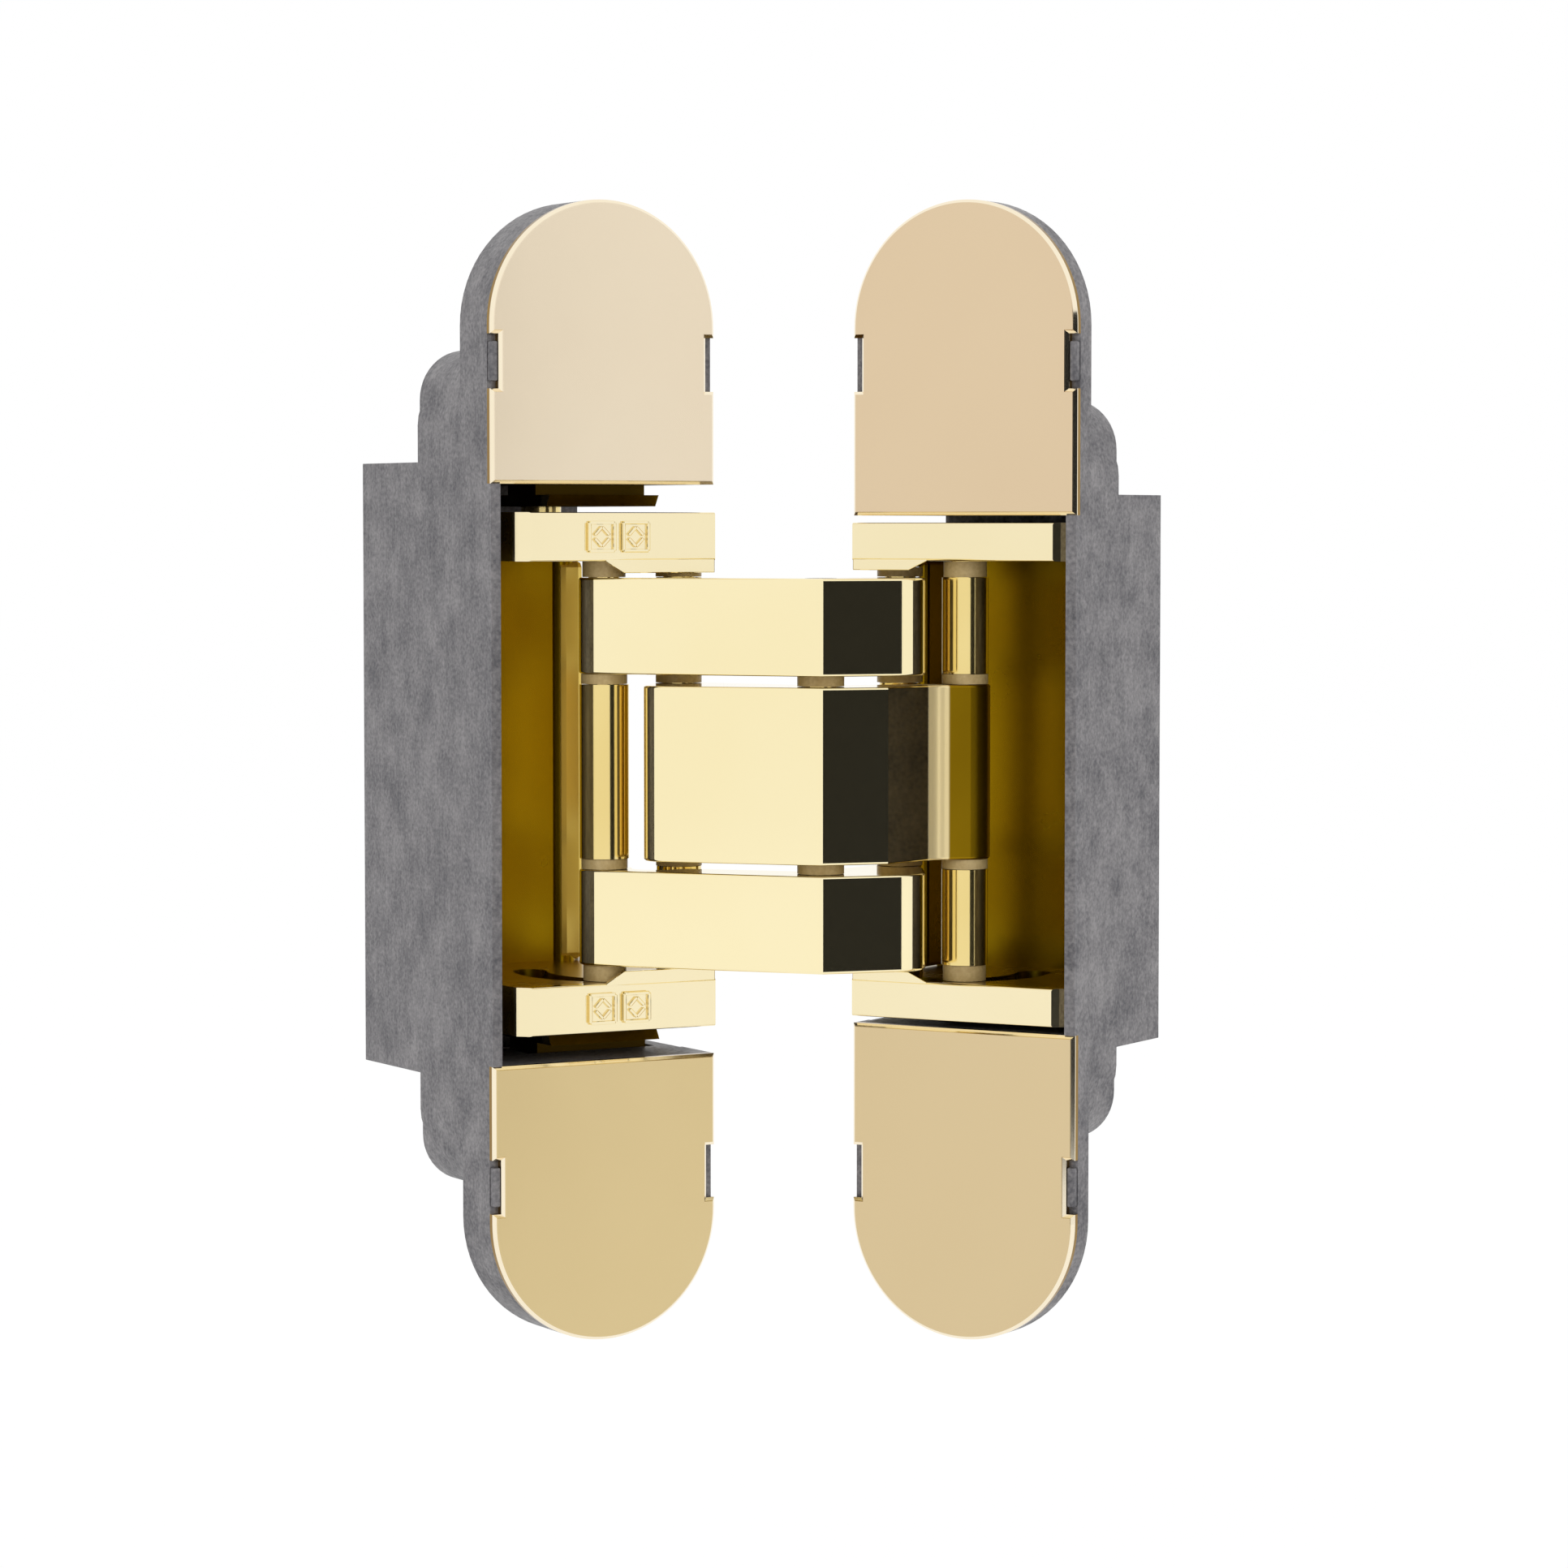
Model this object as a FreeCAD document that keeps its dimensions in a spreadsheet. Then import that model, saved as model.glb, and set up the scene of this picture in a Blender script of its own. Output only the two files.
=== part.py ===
import FreeCAD, Part
import math
import os

import Sketcher
from FreeCAD import Placement, Rotation, Vector

os.makedirs("parts", exist_ok=True)

# Concealed door hinge, opened to restOpening degrees. Millimetres.
# Each leaf is drawn in its own frame: X runs across its face from the outer edge, Y runs into
# the wood from the cover face, Z runs up, and Z = 0 is half way up. The frame leaf's X grows
# from its outer edge and the door leaf's falls. The model's origin is the middle of the back
# of the frame leaf's flange, where the leaf seats in the door frame.

SIZES = {
    "leafWidth": (24.2, "width of each leaf"),
    "frameCover": (27.2, "length of the frame leaf's covers"),
    "doorCover": (30.2, "length of the door leaf's covers"),
    "coverThickness": (1.0, "thickness of the clip-on cover plates"),
    "wallLip": (0.2, "depth of the side wall's front edge behind the cover face"),
    "screwHole": (2.6, "radius of the holes for the fixing screws"),
    "sinkDepth": (2.1, "depth of the countersinks"),
    "pegHole": (1.25, "radius of the cover's peg holes"),
    "pegPlay": (0.05, "radial play of a peg in its hole"),
    "pegReach": (1.8, "length of the cover's pegs"),
    "bodyInset": (0.3, "step from the flange's side to the deep body's side"),
    "bossInset": (0.7, "step from the flange's side to the screw boss's side"),
    "bossCorner": (4.9, "corner radius of the screw boss, seen from the front"),
    "edgeRound": (0.6, "radius on the casting's outer edges"),
    "frameEndWall": (2.2, "wall above and below the frame leaf's pocket"),
    "frameSideWall": (1.0, "outer side wall of the frame leaf"),
    "frameFloor": (1.6, "wall behind the frame leaf's pocket"),
    "frameFlange": (6.8, "depth of the frame leaf's flange"),
    "frameBoss": (17.2, "depth of the frame leaf's screw bosses"),
    "frameBossBeyond": (13.2, "end of the frame leaf's screw bosses beyond its pocket"),
    "frameBackPlay": (2.3, "room behind the frame carrier"),
    "frameScrewFromEnd": (7.0, "frame leaf's outer screws, from the round ends"),
    "frameScrewBeyond": (7.7, "frame leaf's inner screws, beyond its pocket"),
    "framePegBeyond": (1.5, "frame covers' inner pegs, beyond the pocket"),
    "framePegFromEnd": (13.25, "frame covers' outer pegs, from the round ends"),
    "doorEndWall": (2.0, "wall above and below the door leaf's pocket"),
    "doorSideWall": (1.1, "outer side wall of the door leaf"),
    "doorFloor": (1.1, "wall behind the door leaf's pocket"),
    "doorFlange": (3.3, "depth of the door leaf's flange"),
    "doorBoss": (10.3, "depth of the door leaf's screw bosses"),
    "doorBossBeyond": (11.2, "end of the door leaf's screw bosses beyond its pocket"),
    "doorScrewFromEnd": (7.5, "door leaf's outer screws, from the round ends"),
    "doorScrewBeyond": (6.7, "door leaf's inner screws, beyond its pocket"),
    "doorPegBeyond": (12.8, "door covers' inner pegs, beyond the pocket"),
    "doorPegFromEnd": (13.6, "door covers' outer pegs, from the round ends"),
    "notchHalf": (2.6, "half height of the notches in the covers' sides"),
    "notchDeep": (0.9, "depth of those notches"),
    "notchBelowArc": (3.5, "middle of those notches, below the round end's start"),
    "coverBevel": (0.35, "bevel round the covers"),
    "frameSidePlay": (2.0, "room beside the frame carrier for the side adjustment"),
    "frameBlock": (4.7, "height of the frame carrier's blocks"),
    "doorBlock": (3.7, "height of the door carrier's blocks"),
    "carrierFront": (0.0, "depth of the carriers' front faces behind the cover face"),
    "frameCarrierBack": (26.2, "depth of the frame carrier's back"),
    "frameCarrierWall": (1.9, "thickness of the frame carrier's back wall"),
    "doorCarrierWall": (1.2, "thickness of the door carrier's back wall"),
    "doorCarrierBack": (18.8, "depth of the door carrier's back"),
    "doorEndPlay": (0.7, "room between the door carrier and its pocket's ends"),
    "doorCarrierPlay": (0.1, "play round the door carrier in its pocket"),
    "padRadius": (2.3, "radius of the raised pads round the fixed pivots"),
    "padRise": (0.6, "height of those pads"),
    "pinEndWall": (1.2, "wall left over the ends of the fixed pivots' pins"),
    "lipRadius": (1.3, "rounded lip on the frame carrier's back wall"),
    "lipSink": (0.4, "lip's axis behind the wall's front"),
    "lipOverlap": (1.0, "overlap of a cut beyond the wall it opens"),
    "wallShort": (2.8, "frame carrier's back wall ends this far from the leaf's inner edge"),
    "facet": (1.2, "bevel on the frame carrier's outer corner"),
    "markWide": (2.8, "width of the adjustment marks on the frame carrier"),
    "markHigh": (2.7, "height of those marks"),
    "markRise": (0.15, "how far those marks stand out"),
    "markFirst": (12.6, "first mark, from the leaf's inner edge"),
    "markSecond": (8.9, "second mark, from the leaf's inner edge"),
    "blockEdge": (0.25, "round on the carriers' front edges"),
    "framePivotEdge": (2.1, "frame pivot, from the leaf's inner edge"),
    "framePivotDeep": (3.6, "frame pivot, behind the cover face"),
    "doorPivotEdge": (2.8, "door pivot, from the leaf's inner edge"),
    "doorPivotDeep": (4.6, "door pivot, behind the cover face"),
    "middleRear": (17.8, "middle arm, frame pivot to crossing pin"),
    "middleFront": (15.7, "middle arm, crossing pin to door slider pin"),
    "middleTurn": (65.4, "middle arm, turn of its centre line at the crossing pin"),
    "middleHeading": (-69.0, "middle arm at rest, heading from frame pivot to crossing pin"),
    "outerRear": (22.1, "outer arms, frame slider pin to crossing pin"),
    "outerFront": (14.1, "outer arms, crossing pin to door pivot"),
    "outerTurn": (74.5, "outer arms, turn of their centre line at the crossing pin"),
    "outerHeading": (-48.4, "outer arms at rest, heading from slider pin to crossing pin"),
    "restOpening": (120.0, "opening of the hinge at rest"),
    "fullOpening": (180.0, "opening of the hinge at its widest"),
    "middleShare": (0.645, "turn of the middle arm for each degree of opening"),
    "outerShare": (0.442, "turn of the outer arms for each degree of opening"),
    "middleHalf": (8.45, "half height of the middle arm"),
    "washerGap": (1.05, "space for a washer between two arms"),
    "outerHeight": (9.3, "height of each outer arm"),
    "stackPlay": (0.05, "play of washers and sleeves in their spaces"),
    "pivotPin": (1.5, "radius of the frame, door and crossing pins"),
    "sliderPin": (1.5, "radius of the two slider pins"),
    "runningFit": (0.04, "radial clearance where a pin turns"),
    "pressFit": (0.02, "radial clearance where a pin is held"),
    "eyeRadius": (2.45, "radius of the arms' ends at the frame leaf and slider pins"),
    "doorEye": (2.2, "radius of the outer arms' ends at the door pivot"),
    "cornerReach": (4.2, "crossing pin to the arms' front corner"),
    "faceHeading": (-49.3, "heading of the arms' rear front faces at rest"),
    "faceTurn": (38.6, "turn between the two front faces"),
    "middleFace": (16.2, "middle arm's rear front face, from the corner"),
    "middleShoulder": (2.6, "radius of the shoulder at its end"),
    "middleBreast": (6.8, "middle arm's front face, from the corner"),
    "middleNeck": (7.6, "middle arm, from that face to the knuckle's hollow"),
    "neckTurn": (31.5, "turn from that face to the neck"),
    "neckHollow": (2.2, "radius of the hollow beside the knuckle"),
    "outerFace": (8.0, "outer arms' front face, from the corner"),
    "outerShoulder": (3.8, "radius of the shoulder at its end"),
    "rimRound": (0.25, "radius on the arms' rims"),
    "cornerRear": (2.7, "crossing pin to the arms' rear faces"),
    "armRound": (0.7, "radius on the arms' front corner"),
    "frameSleeve": (2.2, "radius of the frame pivot's spacer sleeves"),
    "doorSleeve": (2.0, "radius of the door pivot's spacer sleeve"),
    "frameSliderSleeve": (2.4, "radius of the frame slider pin's spacer sleeve"),
    "doorSliderSleeve": (2.25, "radius of the door slider pin's spacer sleeves"),
    "washerRadius": (2.25, "radius of the washers between the arms"),
    "endWasher": (2.1, "radius of the washers next to the blocks"),
    "reliefPlay": (0.35, "clearance round a sleeve where an arm passes it"),
    "slotPlay": (0.15, "play each side of a slider pin in its slot"),
    "slotEndPlay": (0.3, "room beyond a slider pin at the end of its slot"),
    "slotDeep": (2.7, "depth of the slots in the blocks"),
    "plateThickness": (1.1, "thickness of the cross slides"),
    "plateGap": (0.6, "height of the space between cross slide and block"),
    "plateClear": (1.0, "room between cross slide and pocket end"),
    "plateEdge": (3.0, "cross slide's inner end, from the leaf's inner edge"),
    "heightScrewDeep": (19.6, "depth of the height screws' axes"),
    "heightScrewReach": (1.7, "length of the height screws in the carrier"),
    "plateWide": (12.0, "width of the cross slides"),
    "plateFront": (6.0, "depth of the cross slides' front edges"),
    "plateBevel": (0.7, "bevel on those front edges"),
    "plateDeep": (16.0, "length of the cross slides, front to back"),
    "tongueFront": (9.0, "depth of the front side of the cross slides' tongues"),
    "tongueDeep": (6.0, "size of the tongues, front to back"),
    "tongueHigh": (0.8, "height of the tongues inside their grooves"),
    "sideTravel": (1.0, "side adjustment each way"),
    "heightTravel": (0.5, "height adjustment each way"),
    "slidePlay": (0.05, "play between rail and cross slide"),
    "heightScrew": (2.0, "radius of the height screws"),
    "clampScrew": (1.6, "radius of the door carrier's clamp screws"),
    "clampDeep": (14.6, "depth of the clamp screws' axes"),
    "clampAcross": (5.0, "clamp screws' axes, from the leaf's outer edge"),
    "clampSocket": (0.75, "radius of the clamp screws' sockets"),
    "clampSocketDeep": (1.4, "depth of those sockets"),
}

doc = FreeCAD.newDocument("ConcealedHinge")
sheet = doc.addObject("Spreadsheet::Sheet", "Sizes")
for row, (alias, (number, note)) in enumerate(SIZES.items(), start=1):
    sheet.set("A%d" % row, alias)
    sheet.set("B%d" % row, str(number))
    sheet.set("C%d" % row, note)
    sheet.setAlias("B%d" % row, alias)
doc.recompute()


class Length:
    """A number together with the sheet expression that gives it."""

    def __init__(self, number, text):
        self.number = float(number)
        self.text = text

    def __add__(self, other):
        other = as_length(other)
        return Length(self.number + other.number, "(%s + %s)" % (self.text, other.text))

    def __sub__(self, other):
        other = as_length(other)
        return Length(self.number - other.number, "(%s - %s)" % (self.text, other.text))

    def __mul__(self, other):
        other = as_length(other)
        return Length(self.number * other.number, "(%s * %s)" % (self.text, other.text))

    def __truediv__(self, other):
        other = as_length(other)
        return Length(self.number / other.number, "(%s / %s)" % (self.text, other.text))

    def __neg__(self):
        return Length(-self.number, "(0 - %s)" % self.text)

    __rmul__ = __mul__


def as_length(value):
    return value if isinstance(value, Length) else Length(value, "%.9g" % value)


class Sizes:
    """Every sheet cell as a Length, by its alias."""


size = Sizes()
for alias in SIZES:
    setattr(size, alias, Length(sheet.get(alias), "Sizes.%s" % alias))

# Sizes that follow from the others: the stack of arms sets the pockets, and the pockets and
# covers set the leaves
size.outerLow = size.middleHalf + size.washerGap
size.outerHigh = size.outerLow + size.outerHeight
size.padFace = size.outerHigh + size.washerGap - size.stackPlay
size.blockUnder = size.padFace + size.padRise
size.frameBlockTop = size.blockUnder + size.frameBlock
size.doorBlockTop = size.blockUnder + size.doorBlock
size.framePivotAcross = size.leafWidth - size.framePivotEdge
size.doorPivotAcross = size.leafWidth - size.doorPivotEdge
size.wallEnd = size.leafWidth - size.wallShort
size.plateInset = size.leafWidth - size.plateEdge - size.plateWide
size.plateLow = size.frameBlockTop + size.plateGap
size.plateHigh = size.plateLow + size.plateThickness
size.framePocketHalf = size.plateHigh + size.plateClear
size.doorPocketHalf = size.doorBlockTop + size.doorEndPlay
size.frameHalf = size.framePocketHalf + size.frameCover
size.doorHalf = size.doorPocketHalf + size.doorCover
size.frameDepth = size.frameCarrierBack + size.frameBackPlay + size.frameFloor
size.doorDepth = size.doorCarrierBack + size.doorFloor

PARTS = []
NONE = as_length(0)
HEXAGON = 6
DECIMALS = 6
framePlace = Placement(Vector(-size.leafWidth.number / 2, -size.frameFlange.number, 0), Rotation())


def keep(piece, label):
    """Name a finished piece; the label becomes its file's name."""
    piece.Label = label
    PARTS.append(piece)
    return piece


# Sketches and features of PartDesign bodies

def new_body(label, placement=None):
    body = doc.addObject("PartDesign::Body", "Body_" + label)
    body.Placement = placement or framePlace
    return keep(body, label)


def new_sketch(body, plane_role, offset, name):
    """A sketch on one of the body's own planes, moved along that plane's normal."""
    plane = [f for f in body.Origin.OriginFeatures if f.Role == plane_role][0]
    sketch = body.newObject("Sketcher::SketchObject", name)
    sketch.AttachmentSupport = [(plane, "")]
    sketch.MapMode = "FlatFace"
    sketch.AttachmentOffset = Placement(Vector(0, 0, offset.number), Rotation())
    sketch.setExpression("AttachmentOffset.Base.z", offset.text)
    return sketch


def fix_point(sketch, element, end, across, up):
    """Hold one point of the sketch at a place that the sheet gives."""
    from_origin = (element, end, -1, 1)
    for kind, place in (("DistanceX", across), ("DistanceY", up)):
        index = sketch.addConstraint(sketcher_constraint(kind, from_origin, place.number))
        sketch.setExpression("Constraints[%d]" % index, place.text)


def sketcher_constraint(kind, where, number):
    element, end, origin, origin_end = where
    return Sketcher.Constraint(kind, origin, origin_end, element, end, number)


def draw_polygon(sketch, corners):
    """Straight-sided outline; every corner is held by the sheet."""
    count = len(corners)
    flat = [Vector(x.number, y.number, 0) for x, y in corners]
    lines = [sketch.addGeometry(Part.LineSegment(flat[i], flat[(i + 1) % count]))
             for i in range(count)]
    for i, line in enumerate(lines):
        sketch.addConstraint(Sketcher.Constraint("Coincident", line, 2, lines[(i + 1) % count], 1))
        fix_point(sketch, line, 1, *corners[i])


def draw_rectangle(sketch, left, right, low, high):
    draw_polygon(sketch, [(left, low), (right, low), (right, high), (left, high)])


def draw_circle(sketch, across, up, radius):
    centre = Vector(across.number, up.number, 0)
    element = sketch.addGeometry(Part.Circle(centre, Vector(0, 0, 1), radius.number))
    fix_point(sketch, element, 3, across, up)
    index = sketch.addConstraint(Sketcher.Constraint("Radius", element, radius.number))
    sketch.setExpression("Constraints[%d]" % index, radius.text)


def draw_wire(sketch, edges):
    """Outline worked out by the code below from the sizes, as lines and arcs."""
    for edge in edges:
        sketch.addGeometry(edge)


def pad(body, sketch, length, name, backwards=False):
    feature = body.newObject("PartDesign::Pad", name)
    feature.Profile = sketch
    feature.Reversed = backwards
    feature.Length = length.number
    feature.setExpression("Length", length.text)
    doc.recompute()
    return feature


def pocket(body, sketch, length, name, backwards=False):
    before = body.Shape.Volume
    feature = body.newObject("PartDesign::Pocket", name)
    feature.Profile = sketch
    feature.Reversed = backwards
    feature.Length = length.number
    feature.setExpression("Length", length.text)
    doc.recompute()
    if not body.Shape.Volume < before:
        raise RuntimeError("pocket %s cuts nothing" % name)
    return feature


def round_edges(body, radius, name, wanted, chamfer=False):
    """Fillet or chamfer the edges for which wanted(edge) holds."""
    base = body.Tip
    names = ["Edge%d" % (i + 1) for i, edge in enumerate(base.Shape.Edges) if wanted(edge)]
    kind = "PartDesign::Chamfer" if chamfer else "PartDesign::Fillet"
    feature = body.newObject(kind, name)
    feature.Base = (base, names)
    key = "Size" if chamfer else "Radius"
    setattr(feature, key, radius.number)
    feature.setExpression(key, radius.text)
    doc.recompute()
    return feature


def runs_along(edge, axis):
    """True for a straight edge parallel to the axis."""
    if not isinstance(edge.Curve, Part.Line):
        return False
    return abs(edge.Curve.Direction.dot(axis)) > 0.999


ACROSS = Vector(1, 0, 0)
INWARD = Vector(0, 1, 0)
UPWARD = Vector(0, 0, 1)


def at_depth(depth):
    """Offset of a front-view sketch that lies at this depth behind the cover face."""
    return -depth


# Where the pins stand, worked out from the arms

def heading(degrees):
    return Vector(math.cos(math.radians(degrees)), math.sin(math.radians(degrees)), 0)


def turned(vector, degrees):
    return Rotation(UPWARD, degrees).multVec(vector)


restTurn = size.restOpening.number - 180.0
framePivot = Vector(size.framePivotAcross.number, size.framePivotDeep.number, 0)
crossing = framePivot + heading(size.middleHeading.number) * size.middleRear.number
doorSlider = crossing + (heading(size.middleHeading.number + size.middleTurn.number)
                         * size.middleFront.number)
frameSlider = crossing - heading(size.outerHeading.number) * size.outerRear.number
doorPivot = crossing + (heading(size.outerHeading.number + size.outerTurn.number)
                        * size.outerFront.number)
doorPivotLocal = Vector(-size.doorPivotAcross.number, size.doorPivotDeep.number, 0)
doorOrigin = doorPivot - turned(doorPivotLocal, restTurn)
doorPlace = framePlace.multiply(Placement(doorOrigin, Rotation(UPWARD, restTurn)))



def leaf_positions(opening):
    """Crossing pin and door leaf's placement at an opening, from the arms' fixed shares."""
    change = opening - size.restOpening.number
    pin = framePivot + turned(crossing - framePivot, size.middleShare.number * change)
    pivot = pin + turned(doorPivot - crossing, size.outerShare.number * change)
    origin = pivot - turned(doorPivotLocal, restTurn + change)
    return pin, Placement(origin, Rotation(UPWARD, restTurn + change))


def slider_path(steps=24):
    """Both slider pins' paths, each in its own leaf's frame, closed to fully open."""
    frame_path = []
    door_path = []
    for step in range(steps + 1):
        opening = size.fullOpening.number * step / steps
        change = opening - size.restOpening.number
        pin, leaf = leaf_positions(opening)
        outer_end = pin + turned(frameSlider - crossing, size.outerShare.number * change)
        middle_end = pin + turned(doorSlider - crossing, size.middleShare.number * change)
        frame_path.append(outer_end)
        door_path.append(leaf.inverse().multVec(middle_end))
    return frame_path, door_path


def round_boss(body, radius, name, half):
    """Round the four corners of a screw boss whose ends lie this far from mid height."""
    round_edges(body, radius, name,
                lambda e: runs_along(e, INWARD) and abs(abs(e.CenterOfMass.z) - half) < 0.01)


# Leaf housings: grey castings with a round-ended flange, screw bosses and a deep pocket

def leaf_housing(label, side, place, data):
    """side is 1 where X grows from the outer edge inward, -1 where it falls."""
    body = new_body(label, place)
    width = size.leafWidth
    centre = width / 2 * side
    straight = data["half"] - width / 2

    sketch = new_sketch(body, "XZ_Plane", at_depth(size.coverThickness), "FlangeOutline")
    left, right = (NONE, width) if side > 0 else (-width, NONE)
    corners = [(right, -straight), (right, straight), (left, straight), (left, -straight)]
    spots = [Vector(x.number, y.number, 0) for x, y in corners]
    radius = width.number / 2
    middle = centre.number
    top = Vector(middle, straight.number + radius, 0)
    bottom = Vector(middle, -straight.number - radius, 0)
    parts = [Part.LineSegment(spots[0], spots[1]), Part.Arc(spots[1], top, spots[2]),
             Part.LineSegment(spots[2], spots[3]), Part.Arc(spots[3], bottom, spots[0])]
    shapes = [sketch.addGeometry(part) for part in parts]
    for spot, line, end in ((0, shapes[0], 1), (1, shapes[0], 2), (2, shapes[2], 1),
                            (3, shapes[2], 2)):
        fix_point(sketch, line, end, *corners[spot])
    for line, end, arc, arc_end in ((shapes[0], 2, shapes[1], 1), (shapes[2], 1, shapes[1], 2),
                                    (shapes[2], 2, shapes[3], 1), (shapes[0], 1, shapes[3], 2)):
        sketch.addConstraint(Sketcher.Constraint("Coincident", line, end, arc, arc_end))
    for arc, height in ((shapes[1], straight), (shapes[3], -straight)):
        index = sketch.addConstraint(
            Sketcher.Constraint("DistanceY", -1, 1, arc, 3, height.number))
        sketch.setExpression("Constraints[%d]" % index, height.text)
    pad(body, sketch, data["flange"] - size.coverThickness, "Flange", True)

    def across(low, high):
        return (low * side, high * side) if side > 0 else (high * side, low * side)

    sketch = new_sketch(body, "XZ_Plane", at_depth(size.coverThickness), "BossOutline")
    draw_rectangle(sketch, *across(size.bossInset, width - size.bossInset),
                   -data["boss_half"], data["boss_half"])
    pad(body, sketch, data["boss"] - size.coverThickness, "ScrewBosses", True)
    round_boss(body, size.bossCorner, "BossCorners", data["boss_half"].number)

    sketch = new_sketch(body, "XZ_Plane", at_depth(size.coverThickness), "DeepOutline")
    body_half = data["pocket_half"] + data["end_wall"]
    draw_rectangle(sketch, *across(size.bodyInset, width - size.bodyInset),
                   -body_half, body_half)
    pad(body, sketch, data["depth"] - size.coverThickness, "DeepBody", True)
    depth = data["depth"].number
    round_edges(body, size.edgeRound, "BackEdges",
                lambda e: abs(e.CenterOfMass.y - depth) < 0.01
                and abs(e.BoundBox.YLength) < 0.01)

    sketch = new_sketch(body, "XZ_Plane", at_depth(size.wallLip), "WallOutline")
    draw_rectangle(sketch, *across(NONE, data["side_wall"]),
                   -data["pocket_half"], data["pocket_half"])
    pad(body, sketch, data["flange"] - size.wallLip, "SideWallLip", True)

    sketch = new_sketch(body, "XZ_Plane", at_depth(NONE), "PocketOutline")
    draw_rectangle(sketch, *across(data["side_wall"], width + 1),
                   -data["pocket_half"], data["pocket_half"])
    pocket(body, sketch, data["depth"] - data["floor"], "Pocket", False)

    sketch = new_sketch(body, "XZ_Plane", at_depth(NONE), "ScrewHoles")
    for height in (data["outer_screw"], data["inner_screw"]):
        draw_circle(sketch, centre, height, size.screwHole)
        draw_circle(sketch, centre, -height, size.screwHole)
    pocket(body, sketch, data["depth"], "ScrewHolePocket", False)
    front = size.coverThickness.number
    hole = size.screwHole.number
    round_edges(body, size.sinkDepth, "Countersinks",
                lambda e: isinstance(e.Curve, Part.Circle) and abs(e.Curve.Radius - hole) < 0.01
                and abs(e.CenterOfMass.y - front) < 0.01, chamfer=True)

    sketch = new_sketch(body, "XZ_Plane", at_depth(NONE), "PegHoles")
    for sign in (1, -1):
        for reach in (data["peg_low"], data["peg_high"]):
            draw_circle(sketch, centre, reach * sign, size.pegHole)
    pocket(body, sketch, size.coverThickness + size.pegReach + size.pegPlay, "PegHolePocket", False)
    return body


def cover_plate(label, side, end, place, data):
    """A round-ended plate with side notches and two pegs; end is 1 at the top, -1 below."""
    body = new_body(label, place)
    width = size.leafWidth
    centre = width / 2 * side
    straight = (data["half"] - width / 2) * end
    base = data["pocket_half"] * end
    notch = straight - size.notchBelowArc * end
    notch_near = notch - size.notchHalf * end
    notch_far = notch + size.notchHalf * end
    inner = size.notchDeep
    near_edge = NONE
    far_edge = width * side
    corners = [(near_edge, base), (far_edge, base), (far_edge, notch_near),
               (far_edge - inner * side, notch_near), (far_edge - inner * side, notch_far),
               (far_edge, notch_far), (near_edge, notch_far), (inner * side, notch_far),
               (inner * side, notch_near), (near_edge, notch_near)]
    sketch = new_sketch(body, "XZ_Plane", at_depth(NONE), "CoverOutline")
    spots = [Vector(x.number, y.number, 0) for x, y in corners]
    crown = Vector(centre.number, straight.number + width.number / 2 * end, 0)
    bend_far = (far_edge, straight)
    bend_near = (near_edge, straight)
    far_spot = Vector(far_edge.number, straight.number, 0)
    near_spot = Vector(0, straight.number, 0)
    chain = [Part.LineSegment(spots[i], spots[i + 1]) for i in range(5)]
    chain.append(Part.LineSegment(spots[5], far_spot))
    chain.append(Part.Arc(far_spot, crown, near_spot))
    chain.append(Part.LineSegment(near_spot, spots[6]))
    chain.extend(Part.LineSegment(spots[i], spots[(i + 1) % 10]) for i in range(6, 10))
    elements = [sketch.addGeometry(piece) for piece in chain]
    starts = corners[:6] + [None, bend_near] + corners[6:]
    for i, place_of in enumerate(starts):
        element = elements[i]
        if place_of is not None:
            fix_point(sketch, element, 1, *place_of)
    fix_point(sketch, elements[5], 2, *bend_far)
    arc = elements[6]
    joins = [(elements[i], elements[i + 1]) for i in (0, 1, 2, 3, 4, 7, 8, 9, 10)]
    joins.append((elements[11], elements[0]))
    for first, second in joins:
        sketch.addConstraint(Sketcher.Constraint("Coincident", first, 2, second, 1))
    arc_starts_far = (sketch.getPoint(arc, 1) - far_spot).Length < 0.001
    first_end, last_end = (1, 2) if arc_starts_far else (2, 1)
    sketch.addConstraint(Sketcher.Constraint("Coincident", elements[5], 2, arc, first_end))
    sketch.addConstraint(Sketcher.Constraint("Coincident", elements[7], 1, arc, last_end))
    index = sketch.addConstraint(
        Sketcher.Constraint("DistanceY", -1, 1, arc, 3, straight.number))
    sketch.setExpression("Constraints[%d]" % index, straight.text)
    pad(body, sketch, size.coverThickness, "Plate", True)
    round_edges(body, size.coverBevel, "CoverBevel",
                lambda e: abs(e.BoundBox.YMax) < 0.001 and abs(e.BoundBox.YMin) < 0.001,
                chamfer=True)
    sketch = new_sketch(body, "XZ_Plane", at_depth(size.coverThickness), "Pegs")
    for reach in (data["peg_low"], data["peg_high"]):
        draw_circle(sketch, centre, reach * end, size.pegHole - size.pegPlay)
    pad(body, sketch, size.pegReach, "PegPads", True)
    return body


# Carriers: C-shaped gold castings that hold the pins inside the pockets

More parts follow.
